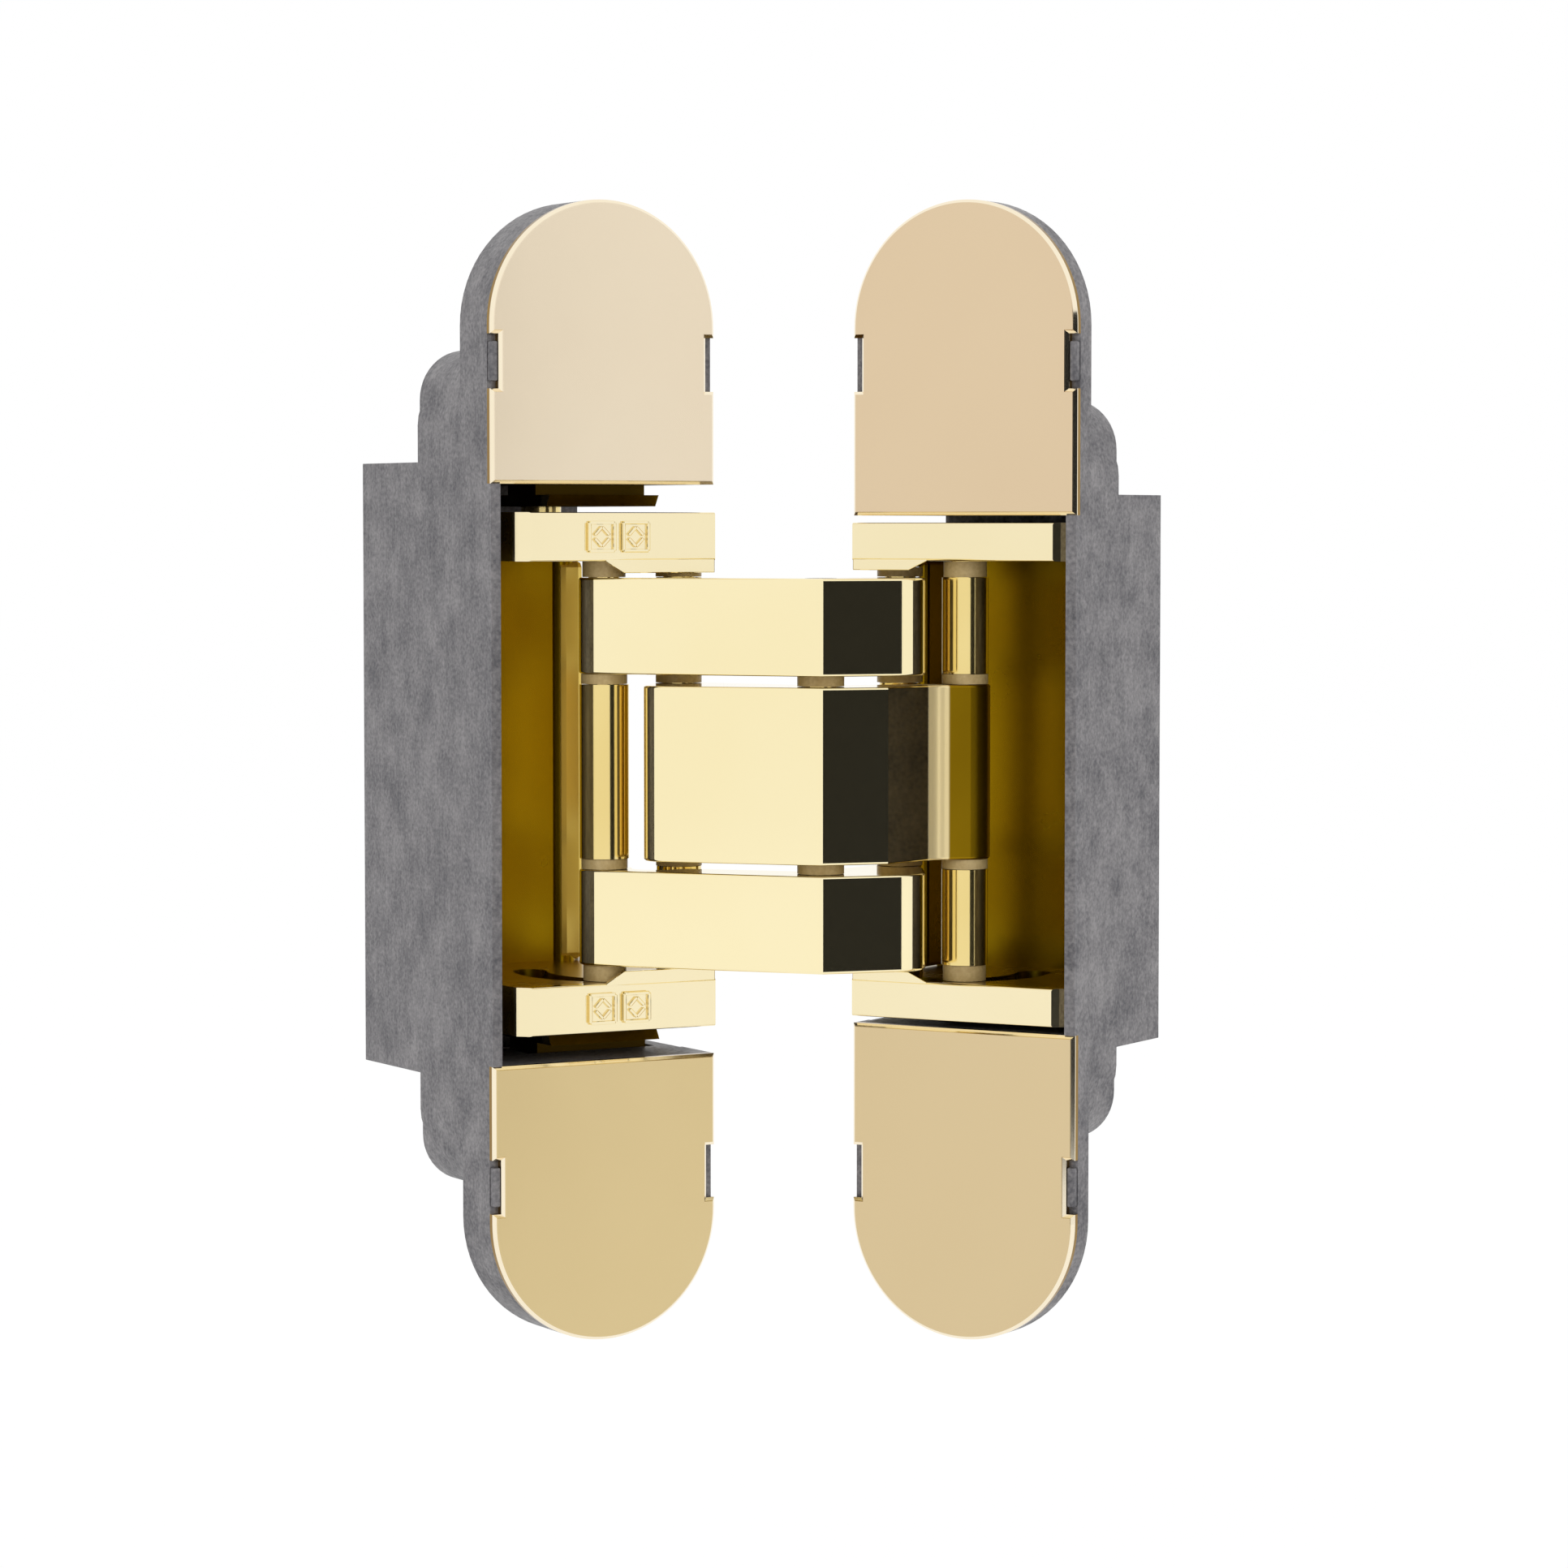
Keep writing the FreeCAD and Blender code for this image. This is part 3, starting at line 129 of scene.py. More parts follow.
def buildCastGrain():
    group, start, end = newGroup(
        "castGrain",
        [("Dark Colour", "NodeSocketColor", (0.1, 0.1, 0.1, 1)),
         ("Light Colour", "NodeSocketColor", (0.2, 0.2, 0.2, 1)),
         ("Patch Scale", "NodeSocketFloat", 90.0),
         ("Grain Scale", "NodeSocketFloat", 1400.0),
         ("Rough Low", "NodeSocketFloat", 0.45),
         ("Rough High", "NodeSocketFloat", 0.6)],
        [("Colour", "NodeSocketColor"), ("Roughness", "NodeSocketFloat"),
         ("Height", "NodeSocketFloat")])
    where = addNode(group, "ShaderNodeTexCoord", (-900, 300))
    patches = addNode(group, "ShaderNodeTexNoise", (-600, 300))
    patches.inputs["Detail"].default_value = castLook["patchDetail"]
    patches.inputs["Roughness"].default_value = castLook["patchRoughness"]
    grain = addNode(group, "ShaderNodeTexNoise", (-600, 0))
    grain.inputs["Detail"].default_value = castLook["grainDetail"]
    streaks = addNode(group, "ShaderNodeMapping", (-750, -300))
    streaks.inputs["Scale"].default_value = (1.0, 1.0, castLook["markStretch"])
    tumbling = addNode(group, "ShaderNodeTexNoise", (-560, -300))
    tumbling.inputs["Detail"].default_value = castLook["markDetail"]
    link(group, where.outputs["Object"], patches.inputs["Vector"])
    link(group, where.outputs["Object"], grain.inputs["Vector"])
    link(group, where.outputs["Object"], streaks.inputs["Vector"])
    link(group, streaks.outputs[0], tumbling.inputs["Vector"])
    link(group, start.outputs["Patch Scale"], patches.inputs["Scale"])
    link(group, start.outputs["Grain Scale"], grain.inputs["Scale"])
    markScale = mathNode(group, "MULTIPLY", start.outputs["Grain Scale"],
                         castLook["markScale"], (-740, -120))
    link(group, markScale, tumbling.inputs["Scale"])
    patchPart = mathNode(group, "MULTIPLY", patches.outputs[0], castLook["patchShare"],
                         (-380, 300))
    grainPart = mathNode(group, "MULTIPLY", grain.outputs[0], castLook["grainShare"],
                         (-380, 100))
    markPart = mathNode(group, "MULTIPLY", tumbling.outputs[0], castLook["markShare"],
                        (-380, -100))
    both = mathNode(group, "ADD", patchPart, grainPart, (-200, 200))
    every = mathNode(group, "ADD", both, markPart, (-20, 200))
    spread = addNode(group, "ShaderNodeMapRange", (160, 200))
    spread.inputs["From Min"].default_value = castLook["darkLevel"]
    spread.inputs["From Max"].default_value = castLook["lightLevel"]
    link(group, every, spread.inputs["Value"])
    colour = mixNode(group, "RGBA", spread.outputs[0], start.outputs["Dark Colour"],
                     start.outputs["Light Colour"], (400, 300))
    rough = mixNode(group, "FLOAT", spread.outputs[0], start.outputs["Rough High"],
                    start.outputs["Rough Low"], (400, 60))
    link(group, colour, end.inputs["Colour"])
    link(group, rough, end.inputs["Roughness"])
    link(group, every, end.inputs["Height"])
    return group


# Plated finish: a faint change of tone, smudged roughness and fine polishing lines
platingLook = {
    "toneDetail": 3, "toneLow": 0.35, "toneHigh": 0.65,
    "deepShare": 0.35,  # the most of the deep colour that shows
    "smudgeDetail": 4, "smudgeScale": 160,
    "lineDetail": 2,
    "lineStretch": 0.06,  # the polishing lines run across
}


def buildPlating():
    group, start, end = newGroup(
        "plating",
        [("Colour", "NodeSocketColor", (0.8, 0.6, 0.3, 1)),
         ("Deep Colour", "NodeSocketColor", (0.6, 0.4, 0.1, 1)),
         ("Tone Scale", "NodeSocketFloat", 30.0),
         ("Roughness", "NodeSocketFloat", 0.1),
         ("Smudge", "NodeSocketFloat", 0.03),
         ("Line Scale", "NodeSocketFloat", 900.0)],
        [("Colour", "NodeSocketColor"), ("Roughness", "NodeSocketFloat"),
         ("Height", "NodeSocketFloat")])
    where = addNode(group, "ShaderNodeTexCoord", (-900, 300))
    tone = addNode(group, "ShaderNodeTexNoise", (-600, 300))
    tone.inputs["Detail"].default_value = platingLook["toneDetail"]
    smudge = addNode(group, "ShaderNodeTexNoise", (-600, 60))
    smudge.inputs["Detail"].default_value = platingLook["smudgeDetail"]
    smudge.inputs["Scale"].default_value = platingLook["smudgeScale"]
    stretch = addNode(group, "ShaderNodeMapping", (-760, -220))
    along = platingLook["lineStretch"]
    stretch.inputs["Scale"].default_value = (along, along, 1.0)
    lines = addNode(group, "ShaderNodeTexNoise", (-560, -220))
    lines.inputs["Detail"].default_value = platingLook["lineDetail"]
    link(group, where.outputs["Object"], tone.inputs["Vector"])
    link(group, where.outputs["Object"], smudge.inputs["Vector"])
    link(group, where.outputs["Object"], stretch.inputs["Vector"])
    link(group, stretch.outputs[0], lines.inputs["Vector"])
    link(group, start.outputs["Tone Scale"], tone.inputs["Scale"])
    link(group, start.outputs["Line Scale"], lines.inputs["Scale"])
    blend = addNode(group, "ShaderNodeMapRange", (-360, 300))
    blend.inputs["From Min"].default_value = platingLook["toneLow"]
    blend.inputs["From Max"].default_value = platingLook["toneHigh"]
    blend.inputs["To Max"].default_value = platingLook["deepShare"]
    link(group, tone.outputs[0], blend.inputs["Value"])
    colour = mixNode(group, "RGBA", blend.outputs[0], start.outputs["Colour"],
                     start.outputs["Deep Colour"], (-120, 300))
    centred = mathNode(group, "SUBTRACT", smudge.outputs[0], 0.5, (-360, 60))
    share = mathNode(group, "MULTIPLY", centred, start.outputs["Smudge"], (-160, 60))
    twice = mathNode(group, "MULTIPLY", share, 2.0, (20, 60))
    rough = mathNode(group, "ADD", twice, start.outputs["Roughness"], (200, 60))
    link(group, colour, end.inputs["Colour"])
    link(group, rough, end.inputs["Roughness"])
    link(group, lines.outputs[0], end.inputs["Height"])
    return group


# Mask that turns white along a direction: from where it starts, over how far it spreads.
# It lays the satin finish, the painted shade and the painted highlights by depth
def buildDepthMask():
    group, start, end = newGroup(
        "depthMask",
        [("Inward", "NodeSocketVector", (0, 1, 0)),
         ("Start", "NodeSocketFloat", 0.0),
         ("Spread", "NodeSocketFloat", 0.0005)],
        [("Mask", "NodeSocketFloat")])
    where = addNode(group, "ShaderNodeTexCoord", (-900, 300))
    depth = addNode(group, "ShaderNodeVectorMath", (-600, 200), operation="DOT_PRODUCT")
    link(group, where.outputs["Object"], depth.inputs[0])
    link(group, start.outputs["Inward"], depth.inputs[1])
    beyond = mathNode(group, "SUBTRACT", depth.outputs["Value"], start.outputs["Start"],
                      (-400, 200))
    share = mathNode(group, "DIVIDE", beyond, start.outputs["Spread"], (-200, 200))
    clamp = addNode(group, "ShaderNodeClamp", (0, 200))
    link(group, share, clamp.inputs["Value"])
    link(group, clamp.outputs[0], end.inputs["Mask"])
    return group


castGrain = buildCastGrain()
plating = buildPlating()
depthMask = buildDepthMask()
print("stage: node groups built")


def newMaterial(name, group, values, metallic, bumpStrength, bumpDistance):
    material = bpy.data.materials.new(name)
    material.use_nodes = True
    tree = material.node_tree
    shader = tree.nodes["Principled BSDF"]
    shader.inputs["Metallic"].default_value = metallic
    finish = addNode(tree, "ShaderNodeGroup", (-500, 200))
    finish.node_tree = group
    for label, value in values.items():
        finish.inputs[label].default_value = value
    link(tree, finish.outputs["Colour"], shader.inputs["Base Color"])
    link(tree, finish.outputs["Roughness"], shader.inputs["Roughness"])
    addBump(tree, finish.outputs["Height"], bumpStrength, bumpDistance)
    return material


# each ends with how metallic it is, then the bump's strength and depth
finishes = {
    "greyZinc": newMaterial(
        "greyZinc", castGrain,
        {"Dark Colour": linear(94, 93, 97), "Light Colour": linear(143, 140, 141),
         "Patch Scale": 230.0, "Grain Scale": 2800.0, "Rough Low": 0.38, "Rough High": 0.56},
        0.55, 0.3, 0.00015),
    "mirrorGold": newMaterial(
        "mirrorGold", plating,
        {"Colour": linear(250, 237, 193), "Deep Colour": linear(246, 230, 178), "Tone Scale": 40.0,
         "Roughness": 0.05, "Smudge": 0.012, "Line Scale": 1800.0},
        1.0, 0.01, 0.00002),
    # Painted highlight: a lighter, half diffuse gold for the frame's ridge, so that it reads
    # bright in the dark pocket
    "ridgeGoldPaintedHighlight": newMaterial(
        "ridgeGoldPaintedHighlight", plating,
        {"Colour": linear(255, 222, 112), "Deep Colour": linear(240, 204, 84), "Tone Scale": 30.0,
         "Roughness": 0.16, "Smudge": 0.04, "Line Scale": 1200.0},
        0.5, 0.03, 0.00003),
    "goldPin": newMaterial(
        "goldPin", plating,
        {"Colour": linear(240, 218, 150), "Deep Colour": linear(226, 198, 118), "Tone Scale": 60.0,
         "Roughness": 0.12, "Smudge": 0.04, "Line Scale": 2200.0},
        1.0, 0.04, 0.00003),
    "beigeNylon": newMaterial(
        "beigeNylon", castGrain,
        {"Dark Colour": linear(176, 150, 98), "Light Colour": linear(198, 174, 122),
         "Patch Scale": 400.0, "Grain Scale": 3000.0, "Rough Low": 0.4, "Rough High": 0.55},
        0.0, 0.1, 0.00004),
}


# Castings with more than one finish: polished where the buffing wheel reaches, satin further in.
# The darker zones further in also carry painted shade, and the light rims and bands are painted
# highlights
zoneFinish = {
    "blockFront": {"Colour": linear(246, 233, 194), "Deep Colour": linear(238, 222, 174),
                   "Tone Scale": 30.0, "Roughness": 0.1, "Smudge": 0.02, "Line Scale": 1600.0},
    # Satin gold darkened as painted shade of the deep pockets; the door's wall is a darker shaded
    # copy of the frame's
    "frameWall": {"Colour": linear(170, 138, 16), "Deep Colour": linear(150, 116, 8),
                  "Tone Scale": 26.0, "Roughness": 0.26, "Smudge": 0.05, "Line Scale": 1000.0},
    "doorWall": {"Colour": linear(150, 124, 14), "Deep Colour": linear(132, 104, 8),
                 "Tone Scale": 26.0, "Roughness": 0.26, "Smudge": 0.05, "Line Scale": 1000.0},
    "armFace": {"Colour": linear(250, 237, 193), "Deep Colour": linear(246, 230, 178),
                "Tone Scale": 40.0, "Roughness": 0.05, "Smudge": 0.012, "Line Scale": 1800.0},
    # Painted highlight: a light, part diffuse band on the middle arm's dark face
    "armBandPaintedHighlight": {"Colour": linear(255, 234, 178), "Deep Colour": linear(250, 224, 158),
                "Tone Scale": 90.0, "Roughness": 0.3, "Smudge": 0.02, "Line Scale": 1000.0},
    # Satin colour in the middle arm's recess, darkened as painted shade
    "armRecess": {"Colour": linear(156, 123, 16), "Deep Colour": linear(134, 101, 8),
                  "Tone Scale": 90.0, "Roughness": 0.34, "Smudge": 0.05, "Line Scale": 1000.0},
    "plateFront": {"Colour": linear(252, 236, 168), "Deep Colour": linear(246, 226, 148),
                   "Tone Scale": 60.0, "Roughness": 0.12, "Smudge": 0.03, "Line Scale": 1200.0},
    # Painted shadow: the slide plates' tongue, deeper in the pocket, darkened as if shaded by the
    # cover
    "plateTongue": {"Colour": linear(84, 64, 16), "Deep Colour": linear(70, 52, 10),
                    "Tone Scale": 60.0, "Roughness": 0.4, "Smudge": 0.03, "Line Scale": 1200.0},
    # Painted highlight: a near-white line on the covers' rounded front edges
    "coverEdge": {"Colour": linear(250, 238, 212), "Deep Colour": linear(244, 228, 196),
                  "Tone Scale": 60.0, "Roughness": 0.1, "Smudge": 0.02, "Line Scale": 1500.0},
    # Painted shade: a dark brown band on the covers' sides, for the shadow gap against the flange
    "coverSide": {"Colour": linear(150, 118, 52), "Deep Colour": linear(120, 88, 30),
                  "Tone Scale": 120.0, "Roughness": 0.16, "Smudge": 0.03, "Line Scale": 1500.0},
}
# One champagne finish on all four covers: the lighter upper and darker, yellower lower tones are
# painted light and shade
coverLitAndShadedTones = {  # face and deep colour of a satin champagne, yellower on the lower covers
    "frame_cover_top": ((238, 223, 197), (229, 208, 178)),
    "frame_cover_bottom": ((219, 197, 148), (208, 184, 130)),
    "door_cover_top": ((226, 203, 169), (218, 193, 157)),
    "door_cover_bottom": ((219, 197, 155), (211, 188, 142)),
}
for name, (tone, deepTone) in coverLitAndShadedTones.items():
    zoneFinish[name] = {"Colour": linear(*tone), "Deep Colour": linear(*deepTone),
                        "Tone Scale": 22.0, "Roughness": 0.2, "Smudge": 0.02,
                        "Line Scale": 1500.0}
# The painted highlight band is part diffuse so that it reads light
metalShare = {"armBandPaintedHighlight": 0.45}  # the other finishes here are fully metallic
zoneBump = {"strength": 0.02, "distance": 0.00002}


# zones: the first finish, then (finish, direction, start, spread) for each that follows inward
def newZoneMaterial(name, first, zones):
    material = bpy.data.materials.new(name)
    material.use_nodes = True
    tree = material.node_tree
    shader = tree.nodes["Principled BSDF"]

    def coat(key, row):
        finish = addNode(tree, "ShaderNodeGroup", (-1200, 200 - 400 * row))
        finish.node_tree = plating
        for label, value in zoneFinish[key].items():
            finish.inputs[label].default_value = value
        return finish

    ground = coat(first, 0)
    colour, rough, height = (ground.outputs[label] for label in ("Colour", "Roughness", "Height"))
    metal = metalShare.get(first, 1.0)
    for row, (key, inward, start, spread) in enumerate(zones, start=1):
        over = coat(key, row)
        mask = addNode(tree, "ShaderNodeGroup", (-1200, 500 + 250 * row))
        mask.node_tree = depthMask
        mask.inputs["Inward"].default_value = inward
        mask.inputs["Start"].default_value = start
        mask.inputs["Spread"].default_value = spread
        share = mask.outputs["Mask"]
        across = -1000 + 220 * row
        colour = mixNode(tree, "RGBA", share, colour, over.outputs["Colour"], (across, 300))
        rough = mixNode(tree, "FLOAT", share, rough, over.outputs["Roughness"], (across, 60))
        metal = mixNode(tree, "FLOAT", share, metal, metalShare.get(key, 1.0), (across, -160))
    link(tree, colour, shader.inputs["Base Color"])
    link(tree, rough, shader.inputs["Roughness"])
    link(tree, metal, shader.inputs["Metallic"])
    addBump(tree, height, zoneBump["strength"], zoneBump["distance"])
    return material


# The leaves at rest: their pivots, the way along the face from its inner edge, the way into the
# wood, and how far along that way the front face lies
leaves = {
    "frame": {"pivot": (0.01, -0.0032, 0.0), "pivotAlong": 0.0021, "pivotDeep": 0.0036,
              "along": (-1.0, 0.0, 0.0), "inward": (0.0, 1.0, 0.0), "front": -0.0068},
    "door": {"pivot": (0.029041, -0.013615, 0.0), "pivotAlong": 0.0028, "pivotDeep": 0.0046,
             "along": (0.5, -0.866025, 0.0), "inward": (0.866025, 0.5, 0.0), "front": 0.013743},
}
# Where each finish begins, as a depth from the leaf's front, and how far the change spreads
# wall: the depth where the satin finish and the painted shade of the pocket walls begin
carrierZones = {"wall": 0.0013, "spread": 0.0006}  # the buffing wheel reaches no further
# rim and side: depths where the covers' painted highlight and painted shade begin
coverZones = {"rim": 0.00005, "rimSpread": 0.00004, "side": 0.00042, "sideSpread": 0.0001}
# tongue: the depth where the slide plates' painted shadow begins
plateZones = {"tongue": 0.0075, "spread": 0.0006}
# band and recess: where the middle arm's painted highlight and painted shade begin
armZones = {"along": (0.99803, -0.06279, 0.0), "band": 0.0281, "recess": 0.0305,
            "spread": 0.0002}  # measured along the middle arm's dark face instead

# Each carrier: polished block front, then the wall colour with its painted shade further in
for leaf, values in leaves.items():
    finishes[leaf + "CarrierGold"] = newZoneMaterial(
        leaf + "CarrierGold", "blockFront",
        [(leaf + "Wall", values["inward"], values["front"] + carrierZones["wall"],
          carrierZones["spread"])])
# Each cover: its own tone, a painted highlight along its edge and painted shade on its side
for name in coverLitAndShadedTones:
    values = leaves[name.split("_")[0]]
    finishes[name] = newZoneMaterial(
        name + "Champagne", name,
        [("coverEdge", values["inward"], values["front"] + coverZones["rim"],
          coverZones["rimSpread"]),
         ("coverSide", values["inward"], values["front"] + coverZones["side"],
          coverZones["sideSpread"])])
finishes["middleArmGold"] = newZoneMaterial(
    "middleArmGold", "armFace",
    [("armBandPaintedHighlight", armZones["along"], armZones["band"], armZones["spread"]),
     ("armRecess", armZones["along"], armZones["recess"], armZones["spread"])])
finishes["slidePlateGold"] = newZoneMaterial(
    "slidePlateGold", "plateFront",
    [("plateTongue", leaves["frame"]["inward"],
      leaves["frame"]["front"] + plateZones["tongue"], plateZones["spread"])])
print("stage: finishes built")

wearing = {
    "greyZinc": ["frame_housing", "door_housing"],
    "slidePlateGold": ["slide_plate_top", "slide_plate_bottom"],
    "frameCarrierGold": ["frame_carrier"],
    "doorCarrierGold": ["door_carrier"],
    "goldPin": ["frame_pivot_pin", "door_pivot_pin", "centre_pin", "frame_slider_pin",
                "door_slider_pin", "height_screw_top", "height_screw_bottom",
                "door_clamp_screw_top", "door_clamp_screw_bottom", "frame_pivot_sleeves",
                "door_pivot_sleeve", "frame_slider_sleeve", "door_slider_sleeves"],
    "beigeNylon": ["frame_pivot_washers", "door_pivot_washers", "centre_washers",
                   "frame_slider_washers", "frame_slider_end_washers", "door_slider_washers",
                   "door_slider_end_washers"],
    "middleArmGold": ["middle_arm"],
    "mirrorGold": ["outer_arm_top", "outer_arm_bottom"],
}
# each cover wears its own tone of painted light and shade
wearing.update({name: [name] for name in coverLitAndShadedTones})  # each cover has its own tone
for finish, wearers in wearing.items():
    for name in wearers:
        mesh = nodes[name].data
        mesh.materials.clear()
        mesh.materials.append(finishes[finish])
print("stage: CAD pieces dressed")


def onLeaf(leaf, along, deep, up):
    values = leaves[leaf]
    spot = Vector(values["pivot"]) + Vector(values["along"]) * (along - values["pivotAlong"])
    return spot + Vector(values["inward"]) * (deep - values["pivotDeep"]) + Vector((0, 0, up))


def addPrism(work, corners, rise):
    bottom = [work.verts.new(corner) for corner in corners]
    top = [work.verts.new(corner + rise) for corner in corners]
    count = len(corners)
    work.faces.new(bottom[::-1])
    work.faces.new(top)
    for index in range(count):
        following = (index + 1) % count
        work.faces.new((bottom[index], bottom[following], top[following], top[index]))


def finishPiece(work, name, body, finish, roundWidth):
    bmesh.ops.recalc_face_normals(work, faces=work.faces)
    bmesh.ops.bevel(work, geom=list(work.edges), offset=roundWidth, segments=2, profile=0.5,
                    affect="EDGES", clamp_overlap=True)
    mesh = bpy.data.meshes.new(name)
    work.to_mesh(mesh)
    work.free()
    mesh.materials.append(finishes[finish])
    obj = bpy.data.objects.new(name, mesh)
    bpy.context.scene.collection.objects.link(obj)
    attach(obj, body)


# Adjustment marks: a raised square rim with a diamond of two chevrons inside
marks = {"along": (0.0126, 0.0089), "up": 0.02275, "side": 0.0027, "bar": 0.00034,
         "rise": 0.00032, "ground": -0.00015, "diamond": 0.0008, "gap": 0.00014,
         "round": 0.0001}


def addMarkBar(work, start, finish):
    first = Vector(start)
    last = Vector(finish)
    way = (last - first).normalized()
    side = Vector((-way.y, way.x)) * (marks["bar"] / 2)
    plan = [first - side, last - side, last + side, first + side]
    corners = [onLeaf("frame", spot.x, marks["ground"], spot.y) for spot in plan]
    addPrism(work, corners, Vector(leaves["frame"]["inward"]) * -marks["rise"])


def buildMarks():
    half = marks["side"] / 2
    reach = marks["diamond"]
    gap = marks["gap"]
    for endName, end in (("top", 1), ("bottom", -1)):
        work = bmesh.new()
        up = marks["up"] * end
        for along in marks["along"]:
            ring = [(along - half, up - half), (along + half, up - half),
                    (along + half, up + half), (along - half, up + half)]
            for index in range(len(ring)):
                addMarkBar(work, ring[index], ring[(index + 1) % len(ring)])
            for sign in (1, -1):
                tip = (along, up + (reach + gap) * sign)
                for side in (1, -1):
                    addMarkBar(work, tip, (along + reach * side, up + gap * sign))
        finishPiece(work, "adjust_marks_" + endName, "frame_mechanism", "frameCarrierGold",
                    marks["round"])


# The blocks' front edges hang lower in front of the fixed pivots and run out in a slope
lips = {
    "frame": {"body": "frame_mechanism", "length": 0.012, "low": 0.01925, "deep": 0.00056},
    "door": {"body": "door_leaf", "length": 0.0082, "low": 0.0195, "deep": 0.00027},
}
lipShape = {"high": 0.0206, "inset": 0.00002, "run": 0.002, "edge": 0.0002, "round": 0.00008}


def buildLips():
    inset = lipShape["inset"]
    high = lipShape["high"]
    edge = lipShape["edge"]
    for leaf, values in lips.items():
        low = values["low"]
        tip = values["length"]
        run = lipShape["run"]
        front = [(inset, high), (tip, high), (tip, high - edge),
                 (tip - run / 2, (high + low - edge) / 2), (tip - run, low), (inset, low)]
        for endName, end in (("top", 1), ("bottom", -1)):
            work = bmesh.new()
            corners = [onLeaf(leaf, along, inset, up * end) for along, up in front]
            addPrism(work, corners, Vector(leaves[leaf]["inward"]) * values["deep"])
            finishPiece(work, "%s_block_lip_%s" % (leaf, endName), values["body"],
                        leaf + "CarrierGold", lipShape["round"])


# The carriers' back walls end in a ridge: the frame's is thick, with a lighter, less metallic gold
# as a painted highlight, and the door's turns forward beside its sleeves
ridges = {
    "frame": {"along": (0.0022, 0.0050), "deep": (0.0233, 0.0258), "round": 0.0007,
              "body": "frame_mechanism", "finish": "ridgeGoldPaintedHighlight"},
    "door": {"along": (0.0004, 0.0016), "deep": (0.0126, 0.0180), "round": 0.0004,
             "body": "door_leaf", "finish": "doorCarrierGold"},
}
ridgeHalf = 0.0203


def buildRidges():
    for leaf, values in ridges.items():
        near, far = values["along"]
        front, back = values["deep"]
        plan = [(near, front), (far, front), (far, back), (near, back)]
        corners = [onLeaf(leaf, along, deep, -ridgeHalf) for along, deep in plan]
        work = bmesh.new()
        addPrism(work, corners, Vector((0, 0, ridgeHalf * 2)))
        finishPiece(work, leaf + "_wall_ridge", values["body"], values["finish"],
                    values["round"])


# The screw bosses' second, slightly wider step
steps = {
    "frame": {"body": "frame_leaf", "low": 0.0294, "high": 0.0385, "deep": (0.0066, 0.0171)},
    "door": {"body": "door_leaf", "low": 0.0262, "high": 0.0335, "deep": (0.0031, 0.0102)},
}
stepShape = {"side": 0.02388, "reach": 0.0165, "corner": 0.0049, "turns": 8, "round": 0.0002}


def buildSteps():
    corner = stepShape["corner"]
    side = stepShape["side"]
    for leaf, values in steps.items():
        front, back = values["deep"]
        for endName, end in (("top", 1), ("bottom", -1)):
            plan = [(stepShape["reach"], values["low"]), (side, values["low"])]
            for turn in range(stepShape["turns"] + 1):
                angle = math.radians(90 * turn / stepShape["turns"])
                plan.append((side - corner * (1 - math.cos(angle)),
                             values["high"] - corner * (1 - math.sin(angle))))
            plan.append((stepShape["reach"], values["high"]))
            work = bmesh.new()
            corners = [onLeaf(leaf, along, front, up * end) for along, up in plan]
            addPrism(work, corners, Vector(leaves[leaf]["inward"]) * (back - front))
            finishPiece(work, "%s_boss_step_%s" % (leaf, endName), values["body"],
                        "greyZinc", stepShape["round"])


# The lugs that the covers clip round, at the leaves' outer edges
lugs = {"up": 0.0394, "half": 0.0019, "near": 0.02338, "far": 0.02414,
        "deep": (0.00025, 0.0011), "round": 0.00018}
lugBody = {"frame": "frame_leaf", "door": "door_leaf"}


def buildLugs():
    front, back = lugs["deep"]
    for leaf, body in lugBody.items():
        work = bmesh.new()
        for end in (1, -1):
            low = lugs["up"] * end - lugs["half"]
            high = lugs["up"] * end + lugs["half"]
            plan = [(lugs["near"], low), (lugs["far"], low), (lugs["far"], high),
                    (lugs["near"], high)]
            corners = [onLeaf(leaf, along, front, up) for along, up in plan]
            addPrism(work, corners, Vector(leaves[leaf]["inward"]) * (back - front))
        finishPiece(work, leaf + "_clip_lugs", body, "greyZinc", lugs["round"])


buildMarks()
buildLips()
buildRidges()
buildSteps()
buildLugs()
print("stage: raised work added")


# Studio: pale floor, white surroundings, soft lamps, and a card for the plating to reflect

def addSheet(name, wide, high, level):
    mesh = bpy.data.meshes.new(name)
    mesh.from_pydata([(-wide / 2, -high / 2, level), (wide / 2, -high / 2, level),
                      (wide / 2, high / 2, level), (-wide / 2, high / 2, level)],
                     [], [(0, 1, 2, 3)])
    obj = bpy.data.objects.new(name, mesh)
    bpy.context.scene.collection.objects.link(obj)
    return obj


def seenDirectly(tree):  # 1 for the camera and for what metal and glass show, 0 for soft light
    path = addNode(tree, "ShaderNodeLightPath", (-400, 300))
    seen = mathNode(tree, "MAXIMUM", path.outputs["Is Camera Ray"],
                    path.outputs["Is Glossy Ray"], (-200, 300))
    return mathNode(tree, "MAXIMUM", seen, path.outputs["Is Transmission Ray"], (-40, 300))


floor = {"drop": 0.09, "size": 12.0, "colour": (0.93, 0.93, 0.93, 1), "roughness": 0.9,
         "share": 0.93,  # how much of what is seen is plain white, so that the rest holds shadow
         "glow": 1.03}


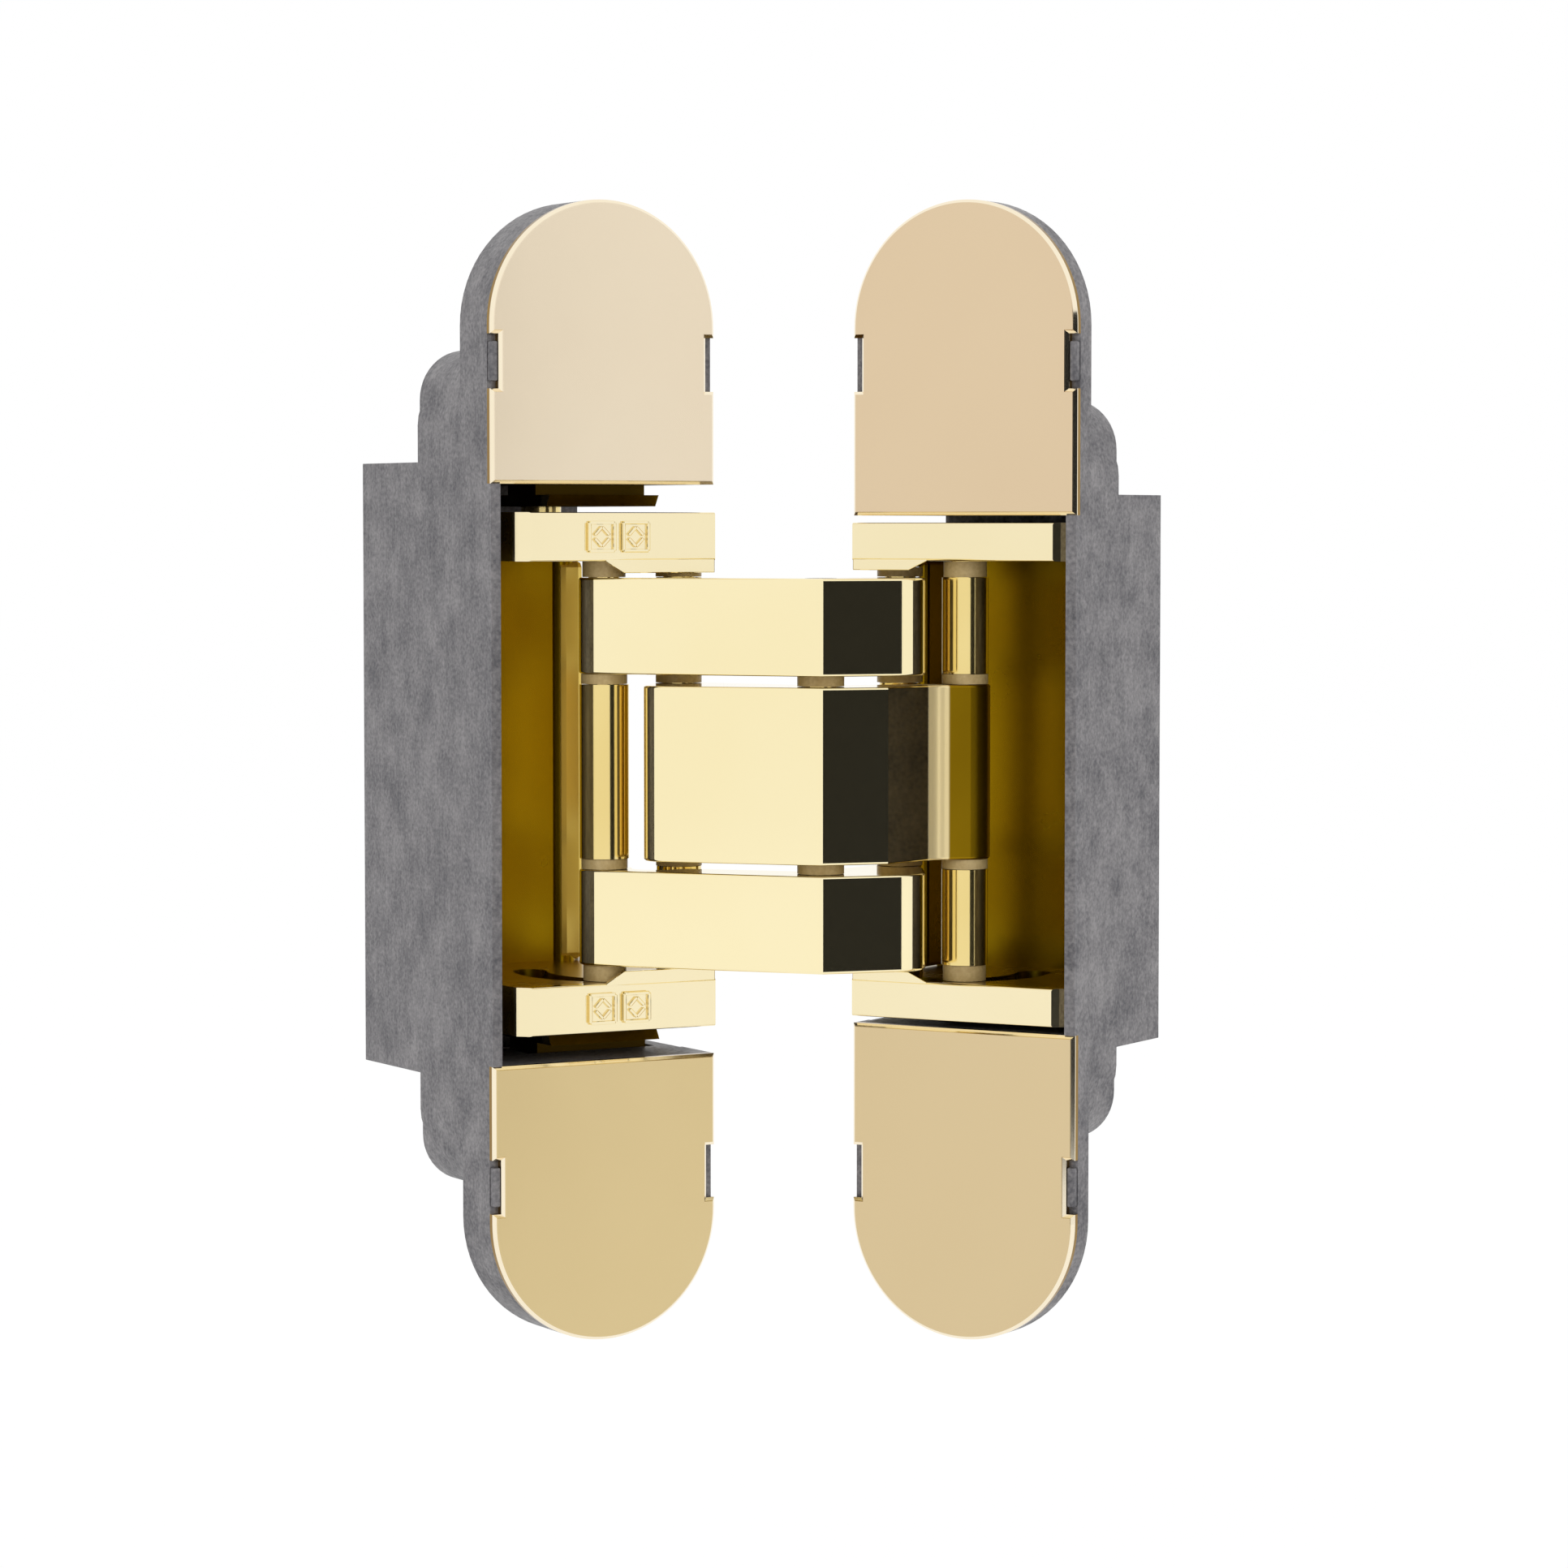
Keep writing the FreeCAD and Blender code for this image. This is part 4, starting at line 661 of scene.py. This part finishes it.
def buildFloor():
    obj = addSheet("floor", floor["size"], floor["size"], -floor["drop"])
    material = bpy.data.materials.new("paleFloor")
    material.use_nodes = True
    tree = material.node_tree
    shader = tree.nodes["Principled BSDF"]
    shader.inputs["Base Color"].default_value = floor["colour"]
    shader.inputs["Roughness"].default_value = floor["roughness"]
    glow = addNode(tree, "ShaderNodeEmission", (0, -200))
    glow.inputs["Strength"].default_value = floor["glow"]
    share = mathNode(tree, "MULTIPLY", seenDirectly(tree), floor["share"], (120, 300))
    mix = addNode(tree, "ShaderNodeMixShader", (300, 0))
    link(tree, share, mix.inputs["Fac"])
    link(tree, shader.outputs[0], mix.inputs[1])
    link(tree, glow.outputs[0], mix.inputs[2])
    link(tree, mix.outputs[0], tree.nodes["Material Output"].inputs["Surface"])
    obj.data.materials.append(material)


world = {"colour": (1, 1, 1, 1), "softLevel": 0.6, "shownLevel": 1.0}


def buildWorld():
    surround = bpy.data.worlds.new("studioWhite")
    bpy.context.scene.world = surround
    surround.use_nodes = True
    tree = surround.node_tree
    soft = tree.nodes["Background"]
    soft.inputs["Strength"].default_value = world["softLevel"]
    soft.inputs["Color"].default_value = world["colour"]
    shown = addNode(tree, "ShaderNodeBackground", (0, -200))
    shown.inputs["Strength"].default_value = world["shownLevel"]
    shown.inputs["Color"].default_value = world["colour"]
    mix = addNode(tree, "ShaderNodeMixShader", (200, 0))
    link(tree, seenDirectly(tree), mix.inputs["Fac"])
    link(tree, soft.outputs[0], mix.inputs[1])
    link(tree, shown.outputs[0], mix.inputs[2])
    link(tree, mix.outputs[0], tree.nodes["World Output"].inputs["Surface"])


lamps = {
    "keyLeft": {"place": (-0.55, -0.75, 0.55), "size": 0.7, "power": 2.3},
    "fillRight": {"place": (0.7, -0.6, 0.35), "size": 0.7, "power": 2.4},
}
lampTarget = (0.026, 0.0, 0.0)  # the middle of the hinge


def buildLamps():
    target = inHingeFrame(lampTarget)
    for name, values in lamps.items():
        lamp = bpy.data.lights.new(name, "AREA")
        lamp.shape = "SQUARE"
        lamp.size = values["size"]
        lamp.energy = values["power"]
        obj = bpy.data.objects.new(name, lamp)
        obj.location = inHingeFrame(values["place"])
        obj.rotation_euler = (target - obj.location).to_track_quat("-Z", "Y").to_euler()
        obj.visible_glossy = False  # no lamp shows in the plating
        bpy.context.scene.collection.objects.link(obj)


# A dull dark card that only the polished metal sees
card = {"place": (0.275, -0.315, -0.02), "facing": (-0.61, 0.79, 0.0), "size": (0.16, 0.26),
        "colour": (0.035, 0.035, 0.035, 1), "roughness": 1.0, "gloss": 0.0}


def buildCard():
    wide, high = card["size"]
    obj = addSheet("darkRight", wide, high, 0)
    obj.location = inHingeFrame(card["place"])
    facing = hingeTurn() @ Vector(card["facing"])
    obj.rotation_euler = facing.to_track_quat("Z", "Y").to_euler()
    material = bpy.data.materials.new("darkRightCard")
    material.use_nodes = True
    shader = material.node_tree.nodes["Principled BSDF"]
    shader.inputs["Base Color"].default_value = card["colour"]
    shader.inputs["Roughness"].default_value = card["roughness"]
    shader.inputs["Specular IOR Level"].default_value = card["gloss"]
    obj.data.materials.append(material)
    obj.visible_camera = False
    obj.visible_diffuse = False
    obj.visible_shadow = False


camera = {
    "place": (0.02766, -0.442, 0.02385),
    "pitch": -3.18,  # degrees from level
    "focalPixels": 5738.0,  # at an image width of 1932
    "imageWidth": 1932.0,
    "sensor": 36.0,
    "nearest": 0.01,
    "furthest": 50,
}


def buildCamera():
    data = bpy.data.cameras.new("photoCamera")
    data.sensor_width = camera["sensor"]
    data.lens = camera["focalPixels"] / camera["imageWidth"] * camera["sensor"]
    data.clip_start = camera["nearest"]
    data.clip_end = camera["furthest"]
    obj = bpy.data.objects.new("photoCamera", data)
    tilt = Matrix.Rotation(math.radians(90 + camera["pitch"]), 4, "X")
    obj.matrix_world = Matrix.Translation(inHingeFrame(camera["place"])) @ hingeTurn() @ tilt
    bpy.context.scene.collection.objects.link(obj)
    bpy.context.scene.camera = obj


buildFloor()
buildWorld()
buildLamps()
buildCard()
buildCamera()
bpy.context.scene.view_settings.view_transform = "Standard"
print("stage: studio built")
